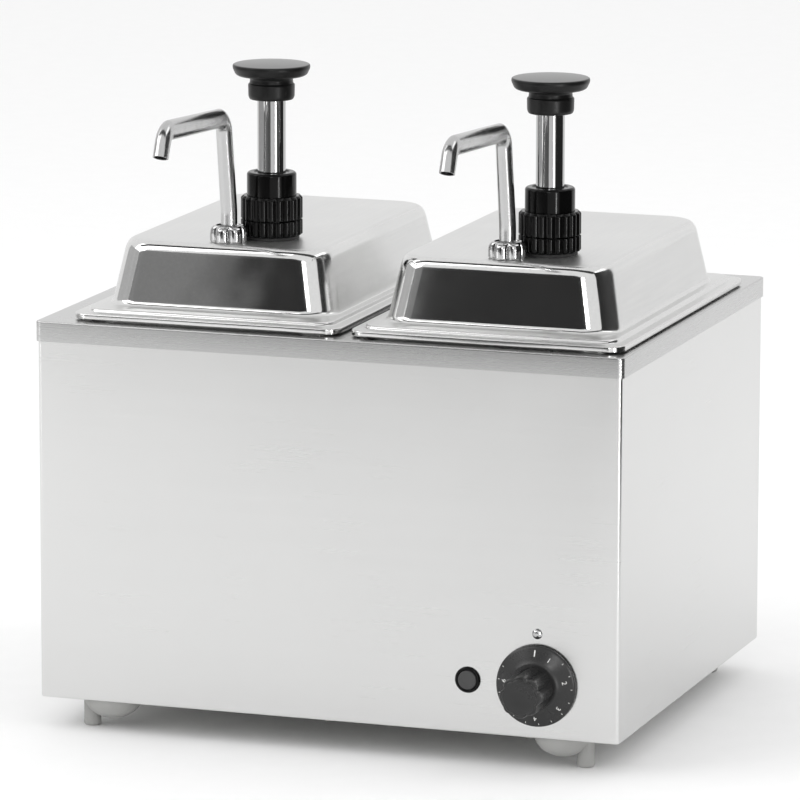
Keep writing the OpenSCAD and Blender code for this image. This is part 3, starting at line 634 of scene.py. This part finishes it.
def housing_shell():
    """Wrapped sheet with a softened fold, a hem turned under it, slots and holes."""
    low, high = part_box("body_wrap")
    centre, half_w, half_l = plan("body_wrap")
    hem, corner = 12 * MM, 3 * MM
    bm = bmesh.new()
    loft(bm, centre, soft_path([
        (half_w - hem, half_l - hem, 1 * MM, low.z, 0),
        (half_w, half_l, corner, low.z, 1.6 * MM),
        (half_w, half_l, corner, high.z, 0),
    ]), 8, cap=False)
    shell = thicken(as_object("housing_shell", bm), HOUSING_SHEET)
    slots, pitch, above_edge = 9, 16 * MM, 30 * MM
    row = [((i - slots // 2) * pitch, high.y, low.z + above_edge) for i in range(slots)]
    cut(shell, set_out("back_slots", row, slot_shape(2 * MM, 17 * MM, 6 * MM),
                       finishes["housing_steel"]))
    bm = bmesh.new()
    for node, wall_y, radius in (("thermostat_shaft", low.y, 5.1), ("inlet_bush", high.y, 8.0),
                                 ("switch_cap", low.y, 8.1)):
        spot = middle(node)
        lathe(bm, plug(radius, 5), 48, Matrix.Translation((spot.x, wall_y, spot.z)) @ TO_FRONT)
    cut(shell, as_object("wall_holes", bm))
    hand_over(shell, "housing", "housing_steel", ["body_wrap"], sharp=50)


def slot_shape(half_w, half_h, half_deep):
    """An upright slot with round ends, to be cut through along Y."""
    outline = []
    for end, start in ((1, 0), (-1, 180)):
        for k in range(9):
            turn = math.radians(start + 180 * k / 8)
            outline.append((half_w * math.cos(turn), end * (half_h - half_w) + half_w * math.sin(turn)))
    bm = bmesh.new()
    near, far = [[bm.verts.new((x, y, z)) for x, z in outline] for y in (-half_deep, half_deep)]
    bridge(bm, near, far)
    bm.faces.new(near)
    bm.faces.new(far)
    return as_object("slot_shape", bm)


def deck_top():
    """Pressed deck with a turned down rim band and two rounded openings."""
    low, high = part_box("top_deck")
    centre, half_w, half_l = plan("top_deck")
    corner, border, ledge = 4.5 * MM, 6 * MM, 10 * MM
    bm = bmesh.new()
    loops = loft(bm, centre, soft_path([
        (half_w, half_l, corner, low.z, 0),
        (half_w, half_l, corner, high.z, 1.3 * MM),
        (half_w - border, half_l - border, corner, high.z, 0),
    ]), 8, cap=False)[-1:]
    for side in SIDES:
        spot, well_w, well_l = plan(f"well_{side}")
        loops.append(rounded_ring(bm, spot, well_w - ledge, well_l - ledge, 26 * MM, high.z, 12))
    edges = []
    for loop in loops:
        for a, b in zip(loop, loop[1:] + loop[:1]):
            edges.append(bm.edges.get((a, b)) or bm.edges.new((a, b)))
    bmesh.ops.triangle_fill(bm, use_beauty=True, use_dissolve=False, edges=edges)
    deck = thicken(as_object("deck", bm), HOUSING_SHEET)
    hand_over(deck, "housing", "deck_steel", ["top_deck"], sharp=50)


def feet():
    """Turned posts, each beside a rounded boss."""
    floor_z, boss_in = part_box("feet")[0].z, 17 * MM
    screws, reach_x, reach_y = plan("foot_screws")
    post = soft_path([(0, 0, 0), (5.6, 0, 0.8), (6.5, 1.2, 0.8), (6.3, 14, 0), (6.5, 23.9, 0),
                      (0, 23.9, 0)])
    boss = soft_path([(0, 6.9, 0), (8, 7.4, 3), (17.5, 12.5, 5), (21.6, 20, 3), (22, 23.9, 0),
                      (0, 23.9, 0)])
    bm = bmesh.new()
    for sx in (-1, 1):
        for sy in (-1, 1):
            x, y = screws.x + sx * (reach_x - 5 * MM), screws.y + sy * (reach_y - 5 * MM)
            lathe(bm, post, 48, Matrix.Translation((x, y, floor_z)))
            lathe(bm, boss, 64, Matrix.Translation((x - sx * boss_in, y, floor_z)))
    hand_over(as_object("foot_mouldings", bm), "housing", "foot_grey", ["feet"])


def screw_shape(head_r, head_h, shank_r, shank_l):
    """Pan head screw in mm, head down, with a cross recess."""
    bm = bmesh.new()
    lathe(bm, soft_path([(0, -head_h, 0), (head_r * 0.6, -head_h, head_r * 0.4),
                         (head_r, -head_h * 0.3, head_r * 0.3), (head_r, 0, 0), (shank_r, 0, 0),
                         (shank_r, shank_l, 0), (0, shank_l, 0)], 4), 24)
    made = as_object("screw_shape", bm)
    wing, slim = head_r * 0.52 * MM, head_r * 0.13 * MM
    under, inside = -head_h * 1.2 * MM, -head_h * 0.45 * MM
    for x, y in ((wing, slim), (slim, wing)):
        bm = bmesh.new()
        add_box(bm, (-x, -y, under), (x, y, inside))
        made = cut(made, as_object("cross_recess", bm))
    return made


def cover_screws():
    head_r, head_h = 3.6, 1.8
    centre, reach_x, reach_y = plan("bottom_screws")
    seat_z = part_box("bottom_screws")[0].z + head_h * MM
    places = [(centre.x + x * (reach_x - head_r * MM), centre.y + y * (reach_y - head_r * MM), seat_z)
              for x in (-1, 0, 1) for y in (-1, 1)]
    made = set_out("cover_screws", places, screw_shape(head_r, head_h, 2, 6.4),
                   finishes["zinc_screw"])
    hand_over(made, "housing", "zinc_screw", ["bottom_screws"])


def inlet_gland():
    """Cord bush: a stepped flange with an open bore."""
    spot, (low, high) = middle("inlet_bush"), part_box("inlet_bush")
    place = Matrix.Translation((spot.x, high.y, spot.z)) @ TO_FRONT.inverted()
    made = as_object("cord_bush", turned([
        (4.2, (low.y - high.y) / MM, 0), (7.9, (low.y - high.y) / MM, 0.5), (7.9, -14.4, 0),
        (12, -14.4, 0.8), (12, -7.3, 0), (7.9, -7.3, 0), (7.9, -5.9, 0), (13, -5.9, 0.6),
        (13, -3.2, 1.2), (9.6, -2.4, 0.8), (8.2, 0, 0.8), (5.4, 0, 0.6), (4.2, -1.2, 0.5)], 64, place))
    hand_over(made, "housing", "dark_rubber", ["inlet_bush"])


# ---------- controls ----------

def facing_front(node, start=None):
    """Place for a part made about Z that looks out of the front wall, and its depth in mm."""
    spot, (low, high) = middle(node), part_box(node)
    start = high.y if start is None else start
    return Matrix.Translation((spot.x, start, spot.z)) @ TO_FRONT, (high.y - low.y) / MM


def dial():
    """Skirted knob with a lobed grip, a pointer line and a numbered scale."""
    place, deep = facing_front("dial")
    bm = turned([(0, 12.9, 0), (3.05, 12.9, 0), (3.05, 4.5, 0), (11, 4.5, 0), (11, 0, 0),
                 (29.4, 0, 0.5), (30.1, 0.8, 0.5), (30.1, 2.5, 0.6), (29.1, 3.4, 0.7),
                 (19.5, 7.6, 2), (17.6, 8.8, 0.8), (13, 8.9, 0), (0, 8.9, 0)], 128, place, closed=False)
    hand_over(as_object("dial_skirt", bm), "temperature_dial", "satin_black", ["dial"], dial_black)
    bm = turned([(0, 8.3, 0), (16, 8.3, 0), (16, 9.3, 0), (16, deep * 0.5, 0),
                 (15.9, deep - 3.4, 0.8), (15.3, deep - 1.4, 1.4), (13.4, deep - 1.1, 0.5),
                 (12.9, deep - 0.1, 0.4), (7, deep - 0.02, 2), (0, deep - 0.4, 0)], 192, closed=False)
    grip = as_object("dial_grip", bm)
    flutes.grow(grip, Count=8.0, Depth=2.4 * MM, Width=0.5, Inner=11.5 * MM, Span=4.5 * MM,
                Round=2, Material=finishes["satin_black"])
    grip.data.transform(place)
    hand_over(grip, "temperature_dial", "satin_black", ["dial"], dial_black)
    dial_marks(place)


def dial_marks(place):
    """Pointer line, ticks and plain numbers, laid on the sloping skirt."""
    skirt_r, skirt_h, slope = 29.1, 3.42, math.atan2(4.2, 9.6)
    first, tick_step, figure_step = -28, -20.83, -50

    def lay(angle, radius):
        """Place on the slope at an angle and a radius."""
        height = (skirt_h + (skirt_r - radius) * math.tan(slope)) * MM
        return (place @ Matrix.Rotation(math.radians(angle), 4, "Z")
                @ Matrix.Translation((0, radius * MM, height)) @ Matrix.Rotation(-slope, 4, "X"))

    bm = bmesh.new()
    thin = 0.1 * MM
    lines = [(first + tick_step * step, 27.7, 0.2 * MM, 0.6 * MM) for step in range(1, 14)]
    for angle, radius, half_w, half_l in lines + [(0, 25.0, 0.45 * MM, 2.4 * MM)]:
        bmesh.ops.transform(bm, matrix=lay(angle, radius), verts=add_box(
            bm, (-half_w, -half_l, -thin), (half_w, half_l, thin)))
    hand_over(as_object("dial_ticks", bm), "temperature_dial", "white_plastic", (), marking)
    for number in range(1, 7):
        text = bpy.data.curves.new("figure", "FONT")
        text.body = str(number)
        text.size = 5.2 * MM
        text.extrude = thin
        text.align_x, text.align_y = "CENTER", "CENTER"
        carrier = put_in_scene("figure", text)
        bpy.context.view_layer.update()
        mesh = bpy.data.meshes.new_from_object(
            carrier.evaluated_get(bpy.context.evaluated_depsgraph_get()))
        bpy.data.objects.remove(carrier)
        mesh.transform(lay(first + figure_step * (number - 1), 23.2))
        figure = put_in_scene(f"dial_figure_{number}", mesh)
        hand_over(figure, "temperature_dial", "white_plastic", (), marking)


def push_switch():
    """Round bezel with a softened lip, a box behind the wall and a shallow dished cap."""
    place, rise = facing_front("switch_body")
    back, box_deep, box_half = 13, 14 * MM, 11 * MM
    bm = turned([(7.15, back, 0), (7.15, rise - 0.7, 0.4), (7.7, rise, 0.5), (8.9, rise, 0.5),
                 (9.7, rise - 1.1, 0.5), (9.7, rise - 2, 0), (8, rise - 2, 0), (8, back, 0)], 96, place)
    spot, rear = middle("switch_body"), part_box("switch_body")[1].y
    add_box(bm, (spot.x - box_half, rear - box_deep, spot.z - box_half),
            (spot.x + box_half, rear, spot.z + box_half))
    hand_over(as_object("switch_bezel", bm), "housing", "gloss_black", ["switch_body"])
    place, deep = facing_front("switch_cap")
    bm = turned([(0, 0, 0), (7.1, 0, 0), (7.1, deep - 0.6, 0.5), (6.4, deep, 0.5),
                 (5.2, deep - 0.15, 0.8), (0, deep - 0.5, 0)], 96, place, closed=False)
    hand_over(as_object("switch_button_cap", bm), "switch_button", "satin_black",
              ["switch_cap"], cap_grey)


def index_stud():
    """Small bright domed stud with a flat collar."""
    place, _ = facing_front("index_stud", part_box("body_wrap")[0].y)
    bm = turned([(0, -4, 0), (2, -4, 0), (2, 0, 0), (3.9, 0, 0), (3.85, 0.5, 0.25), (3.1, 1.3, 0.8),
                 (1.7, 2.25, 0.9), (0, 2.38, 0)], 64, place, closed=False)
    hand_over(as_object("bright_stud", bm), "housing", "tube_steel", ["index_stud"])


# ---------- pans and lids ----------

def pan(side):
    """Drawn pan: rolled flange, straight walls and a rounded floor."""
    low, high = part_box(f"pan_{side}")
    centre, fw, fl = plan(f"pan_{side}")
    w, l = fw - 9 * MM - DRAWN_SHEET, fl - 9 * MM - DRAWN_SHEET
    lip, floor_z = high.z - 4.5 * MM, low.z + DRAWN_SHEET
    bm = bmesh.new()
    loft(bm, centre, soft_path([
        (fw, fl, 31 * MM, lip, 0), (fw, fl, 31 * MM, high.z, 1.6 * MM),
        (w, l, 22 * MM, high.z, 2.4 * MM), (w, l, 22 * MM, floor_z, 11 * MM),
        (w - 30 * MM, l - 30 * MM, 10 * MM, floor_z, 0)], 8), 12)
    made = thicken(as_object(f"{side}_food_pan", bm), DRAWN_SHEET)
    hand_over(made, f"{side}_pan", "pan_steel", [f"pan_{side}"], sharp=50)


def lid(side):
    """Drawn lid: skirt, flat border, low step and a dome with rounded edges."""
    low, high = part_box(f"lid_{side}")
    centre, w, l = plan(f"lid_{side}")
    border, step = low.z + 4 * MM, low.z + 7 * MM
    bm = bmesh.new()
    loft(bm, centre, soft_path([
        (w, l, 12 * MM, low.z, 0), (w, l, 12 * MM, border, 1.5 * MM),
        (w - 7.6 * MM, l - 7.6 * MM, 12 * MM, border, 1.4 * MM),
        (w - 8.6 * MM, l - 8.6 * MM, 12 * MM, step, 1.6 * MM),
        (w - 15 * MM, l - 27 * MM, 24 * MM, step, 4.5 * MM),
        (w - 24 * MM, l - 36 * MM, 24 * MM, high.z, 9 * MM),
        (w - 46 * MM, l - 60 * MM, 14 * MM, high.z, 0)], 8), 14)
    made = thicken(as_object(f"{side}_lid_shell", bm), DRAWN_SHEET)
    bm = bmesh.new()
    for node, radius in ((f"pump_cylinder_{side}", 15.3), (f"spout_bush_{side}", 8.9)):
        spot = middle(node)
        lathe(bm, plug(radius, 12), 64, Matrix.Translation((spot.x, spot.y, high.z)))
    cut(made, as_object("lid_holes", bm))
    hand_over(made, f"{side}_lid", "lid_steel", [f"lid_{side}"], sharp=50)


# ---------- pump ----------

def pump_place(side):
    spot = middle(f"knob_{side}")
    return Matrix.Translation((spot.x, spot.y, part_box(f"lid_{side}")[1].z))


def above_lid(node, side):
    """Foot and head of a node, in mm above the lid's top."""
    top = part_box(f"lid_{side}")[1].z
    return [(corner.z - top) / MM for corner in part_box(f"{node}_{side}")]


def knob(side):
    """Flat mushroom knob over a hollow cup with a beaded rim."""
    bm = turned([(10.6, 115.4, 0), (10.6, 103.6, 0.4), (12.5, 103.6, 0.4), (12.5, 111.5, 0.6),
                 (15.6, 111.5, 0.6), (15.6, 103.6, 0.4), (16, 103.6, 0.6), (17.1, 105.4, 2),
                 (17.3, 114.6, 0.8), (16.1, 115.6, 0.5), (15.8, 118.4, 0.8), (17.6, 120.6, 1),
                 (24.3, 120.9, 1), (26.6, 122.2, 1.2), (28.75, 127, 1.2), (28.5, 129.1, 0.7),
                 (27.2, 129.7, 0.6), (14, 130.7, 8), (0, 130.95, 0), (0, 115.4, 0)],
                128, pump_place(side))
    hand_over(as_object(f"{side}_knob_moulding", bm), f"{side}_plunger", "satin_black",
              [f"knob_{side}"], knob_black)


def plunger_tube(side):
    foot, head = above_lid("plunger_tube", side)
    bm = turned([(9.5, foot, 0.2), (10.5, foot, 0.2), (10.5, head, 0.2), (9.5, head, 0.2)],
                128, pump_place(side))
    hand_over(as_object(f"{side}_plunger_stem", bm), f"{side}_plunger", "tube_steel",
              [f"plunger_tube_{side}"])


def gland(side):
    """Smooth collar that guides the plunger, with a bevelled mouth."""
    foot, head = above_lid("gland_collar", side)
    shoulder = above_lid("lock_collar", side)[1] - 2.1
    bm = turned([(10.56, foot, 0), (12.9, foot, 0.4), (12.9, shoulder - 6, 0), (20, shoulder - 6, 0),
                 (20, shoulder, 0), (18.4, shoulder, 0), (18.4, head - 1.3, 0.9), (17.1, head, 0.8),
                 (13.4, head, 0.5), (12.6, head - 0.9, 0.4), (10.56, head - 0.9, 0.3)],
                128, pump_place(side))
    hand_over(as_object(f"{side}_gland_guide", bm), f"{side}_lid", "gloss_black",
              [f"gland_collar_{side}"])


def fluted_ring(side, node, name, low_edge):
    """Hand ring with rounded lobes between grooves; two of them meet at a fine line."""
    foot, head = above_lid(node, side)
    bore, outer = 15.1, 22.9
    wall = [(bore, foot, 0.3), (outer - 1.3, foot, 0.3)]
    wall += [(outer, foot + (0.9 if low_edge else 0.35), 0.4)]
    wall += [(outer, foot + (head - foot) * k / 5, 0) for k in (1, 2, 3, 4)]
    wall += [(outer, head - (0.35 if low_edge else 1.7), 0.6),
             (outer - (0.4 if low_edge else 1.7), head, 0.6), (bore, head, 0.3)]
    made = as_object(f"{side}_{name}", turned(wall, 320))
    flutes.grow(made, Count=20.0, Depth=1.6 * MM, Width=0.5, Inner=19 * MM, Span=3.9 * MM, Round=2.2,
                Material=finishes["gloss_black"])
    made.data.transform(pump_place(side))
    hand_over(made, f"{side}_lid", "gloss_black", [f"{node}_{side}"])


def collar_gasket(side):
    head, reach = above_lid("collar_gasket", side)[1], plan(f"collar_gasket_{side}")[1] / MM
    bm = turned([(15.1, 0, 0.3), (reach, 0, 0.6), (reach, head, 0.6), (15.1, head, 0.3)],
                96, pump_place(side))
    hand_over(as_object(f"{side}_gasket_ring", bm), f"{side}_lid", "dark_rubber",
              [f"collar_gasket_{side}"])


def cylinder(side):
    """Pump cylinder hung by its flange under the lid."""
    foot, head = above_lid("pump_cylinder", side)
    bm = turned([(13, foot, 0), (15, foot, 0.4), (15, -3.5, 0.5), (21.4, -3.5, 0.6), (21.5, -1, 0.5),
                 (15, -1, 0), (15, head, 0.4), (13, head, 0)], 96, pump_place(side))
    hand_over(as_object(f"{side}_cylinder_tube", bm), f"{side}_lid", "tube_steel",
              [f"pump_cylinder_{side}"])


def return_spring(side):
    """Round wire spring between the valve ledge and the piston; the press stroke is read from the
    record.
    """
    node, wire = f"return_spring_{side}", 0.9 * MM
    (low, high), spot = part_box(node), middle(node)
    tall, joint = high.z - low.z, f"{side}_plunger_press"
    made = as_object(f"{side}_spring_wire", bmesh.new())
    coil.grow(made, Turns=7.0, Radius=(high.x - low.x) / 2 - wire, Height=tall - 2 * wire,
              Wire=wire, Centre=(spot.x, spot.y, low.z + wire), Material=finishes["tube_steel"])
    hand_over(made, f"{side}_lid", "tube_steel", [node])
    stroke = max(row["range_m"][1] for row in frame["record"]["behaviour"]["joints"]
                 if row["name"] == joint)
    1 - stroke / tall
    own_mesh(made)


# ---------- spout ----------

def spout_run(foot):
    """Places along the tube, in mm: (distance forward, height, lean, half width, half height)."""
    root, arm_lean, end_lean = 20, 78, 68
    legs = [("straight", root - foot), ("bend", 40, 9), ("straight", 58), ("bend", 13, arm_lean),
            ("straight", 100), ("bend", 12, end_lean), ("straight", 12)]
    sizes = [(6.15, 6.15), (6.15, 6.15), (6.0, 6.15), (5.6, 7.2), (5.35, 7.5), (5.7, 6.3), (5.75, 5.75)]
    forward, height, lean = 0.0, foot, 0.0
    before = sizes[0]
    made = [(forward, height, lean, *before)]
    for (kind, reach, *bend), size in zip(legs, sizes):
        steps = 10 if kind == "straight" else max(8, int(bend[0] / 5))
        start = (forward, height, lean)
        a = math.radians(lean)
        for k in range(1, steps + 1):
            share = k / steps
            if kind == "straight":
                forward = start[0] + reach * share * math.sin(a)
                height = start[1] + reach * share * math.cos(a)
            else:
                lean = start[2] + bend[0] * share
                b = math.radians(lean)
                forward = start[0] + reach * (math.cos(a) - math.cos(b))
                height = start[1] + reach * (math.sin(b) - math.sin(a))
            ease = share * share * (3 - 2 * share)
            made.append((forward, height, lean, before[0] + (size[0] - before[0]) * ease,
                         before[1] + (size[1] - before[1]) * ease))
        before = size
    return made


def spout(side):
    """Bent tube, pressed oval along its arm, with an open nozzle; its foot is in the valve body."""
    spot, top = middle(f"spout_nut_{side}"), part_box(f"lid_{side}")[1].z
    wall, segments = 1.0, 48
    bm = bmesh.new()
    skins = []
    for inset in (0.0, wall):
        rings = []
        for forward, height, lean, half_w, half_h in spout_run(above_lid("spout", side)[0]):
            a = math.radians(lean)
            normal = Vector((0, -math.cos(a), -math.sin(a)))
            centre = Vector((spot.x, spot.y - forward * MM, top + height * MM))
            turns = [math.tau * i / segments for i in range(segments)]
            rings.append([bm.verts.new(
                centre + Vector(((half_w - inset) * MM * math.cos(t), 0, 0))
                + normal * (half_h - inset) * MM * math.sin(t)) for t in turns])
        for a, b in zip(rings, rings[1:]):
            bridge(bm, a, b)
        skins.append(rings)
    for end in (0, -1):
        bridge(bm, skins[0][end], skins[1][end])
    hand_over(as_object(f"{side}_spout_tube", bm), f"{side}_spout", "tube_steel",
              [f"spout_{side}"], satin_tube)


def spout_nut(side):
    """Nut with six rounded lobes about a raised collar."""
    (low, high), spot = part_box(f"spout_nut_{side}"), middle(f"spout_nut_{side}")
    tall = (high.z - low.z) / MM
    made = as_object(f"{side}_lobed_nut", turned([
        (6.5, 0, 0.3), (13.3, 0, 0.5), (14.1, 1.1, 0.8), (14.1, tall * 0.35, 0),
        (14.1, tall * 0.6, 2), (13.4, tall * 0.84, 1.6), (11.6, tall * 0.985, 1.2), (10, tall, 0.6),
        (9.2, tall - 1.5, 0.6), (6.5, tall - 1.7, 0.4)], 192))
    flutes.grow(made, Count=6.0, Depth=3.3 * MM, Width=0.5, Inner=9.4 * MM, Span=4.6 * MM,
                Round=2.4, Material=finishes["tube_steel"])
    made.data.transform(Matrix.Translation((spot.x, spot.y, low.z))
                        @ Matrix.Rotation(math.radians(20), 4, "Z"))
    hand_over(made, f"{side}_lid", "tube_steel", [f"spout_nut_{side}"])


# ---------- kept pieces ----------

def paint_kept(done):
    """Every node that stays as it is gets the finish of its slot."""
    slot_of = {row["node"]: row["material_slot"] for row in frame["record"]["subparts"]}
    for name, piece in nodes.items():
        if name in done:
            continue
        piece.data.materials.clear()
        piece.data.materials.append(finishes[slot_of[name]])


# ---------- surroundings ----------

def surroundings():
    """Soft white room."""
    world = bpy.data.worlds.new("room")
    bpy.context.scene.world = world
    world.use_nodes = True
    room = Finish(world.node_tree)
    back = room.node("ShaderNodeBackground", None, {"Color": (1, 1, 1, 1), "Strength": ROOM_LIGHT})
    room.node("ShaderNodeOutputWorld", None, {"Surface": back.outputs[0]})
    bpy.context.scene.view_settings.view_transform = "Standard"


def card(name, corners, tone, power=1.0):
    """A studio card that only polished parts see; its tone is even or comes from a place on it."""
    material, finish, shader = surface(name + "_paper", **{
        "Base Color": (0, 0, 0, 1), "Roughness": 1.0, "Specular IOR Level": 0.0,
        "Emission Strength": power})
    place = finish.node("ShaderNodeTexCoord").outputs["Object"]
    parts = finish.node("ShaderNodeSeparateXYZ", None, {0: place})
    if callable(tone):
        tone = tone(Amount(finish, parts.outputs[0]), Amount(finish, parts.outputs[2]))
    mottle = finish.noise(3.0, (1, 1, 0.3), 2) * 0.3 + 0.85
    link(finish, shader, glow=finish.tint((0, 0, 0), (1, 1, 1), mottle * tone))
    bm = bmesh.new()
    bm.faces.new([bm.verts.new(corner) for corner in corners])
    made = as_object(name, bm)
    made.data.materials.append(material)
    made.visible_camera = False
    made.visible_diffuse = False
    made.visible_shadow = False


def upright(start, end, height):
    """Corners of a card that stands on the floor between two places."""
    return [(*start, 0), (*end, 0), (*end, height), (*start, height)]


def front_tone(x, z):
    """Grey beside the stems; higher up mid grey for one lid front and near black for the other."""
    stems = 0.5 - x.fade(-2.3, -0.2) * 0.36
    right = x.fade(-0.88, -0.79)
    lids = 0.27 - x.fade(-1.05, -0.85) * 0.1 - right * 0.135
    up = z.fade(0.32, 0.5)
    return stems * (1.0 - up) + lids * up


def floor():
    """Plain pale floor, wide enough to fill the view."""
    material, finish, shader = surface("pale_floor", Roughness=0.7)
    fleck = finish.noise(40.0, (1, 1, 1), 3, 0.6)
    link(finish, shader, colour=finish.tint((0.90, 0.90, 0.90), (0.93, 0.93, 0.93), fleck))
    bm = bmesh.new()
    bmesh.ops.create_grid(bm, x_segments=1, y_segments=1, size=24.0)
    made = as_object("floor", bm)
    made.data.materials.append(material)
    if made.data.polygons[0].normal.z < 0:
        made.data.flip_normals()


def lamp(name, place, size, power):
    data = bpy.data.lights.new(name, "AREA")
    data.shape = "RECTANGLE"
    data.size = data.size_y = size
    data.energy = power
    made = put_in_scene(name, data)
    made.location = place
    aim = Vector((0, 0, 0.25)) - Vector(place)
    made.rotation_mode = "QUATERNION"
    made.rotation_quaternion = aim.to_track_quat("-Z", "Y")


def camera():
    """A long lens from the front right, a little above the deck."""
    right, away, up = 1.5034, 4.1773, 1.1157
    turn, dip, roll = math.radians(19.09), math.radians(10.87), math.radians(0.1)
    data = bpy.data.cameras.new("camera")
    data.lens = 280.3
    data.sensor_width = 36
    made = put_in_scene("camera", data)
    aim = Vector((-math.sin(turn) * math.cos(dip), math.cos(turn) * math.cos(dip), -math.sin(dip)))
    made.matrix_world = (Matrix.Translation((right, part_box("body_wrap")[0].y - away, up))
                         @ aim.to_track_quat("-Z", "Y").to_matrix().to_4x4()
                         @ Matrix.Rotation(roll, 4, "Z"))
    bpy.context.scene.camera = made


# ---------- assembly ----------

surroundings()
floor()
lamp("left_softbox", (-2.2, -1.6, 2.2), 2.6, 36)
lamp("right_softbox", (2.6, 0.4, 2.0), 2.4, 22)
card("front_card", upright((-2.6, -2.25), (0.4, -2.25), 1.35), front_tone)
card("side_card", upright((1.0, -0.55), (1.15, 1.0), 1.3), 0.03)
card("left_card", upright((-2.6, 0.6), (-2.6, -2.25), 1.35), 0.55)
card("top_card", [(-1.6, -1.0, 1.7), (1.4, -1.0, 1.7), (1.4, -0.45, 1.7), (-1.6, -0.45, 1.7)], 0.06)
card("front_glow", [(0.4, -1.9, 0.75), (0.75, -1.9, 0.75), (0.75, -1.9, 1.15), (0.4, -1.9, 1.15)],
     1, power=9)
card("right_strip", upright((0.90, -0.83), (0.96, -0.78), 0.5), 1, power=22)
card("left_strip", upright((-0.97, -1.0), (-0.92, -1.04), 0.5), 1, power=4)
camera()
housing_shell()
deck_top()
feet()
cover_screws()
inlet_gland()
dial()
push_switch()
index_stud()
for side in SIDES:
    pan(side)
    lid(side)
    knob(side)
    plunger_tube(side)
    gland(side)
    fluted_ring(side, "lock_collar", "lock_ring", low_edge=False)
    fluted_ring(side, "mounting_nut", "clamp_ring", low_edge=True)
    collar_gasket(side)
    cylinder(side)
    return_spring(side)
    spout(side)
    spout_nut(side)
made_for = {n for o in bpy.context.scene.objects if "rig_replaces" in o for n in o["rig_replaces"]}
paint_kept(made_for)
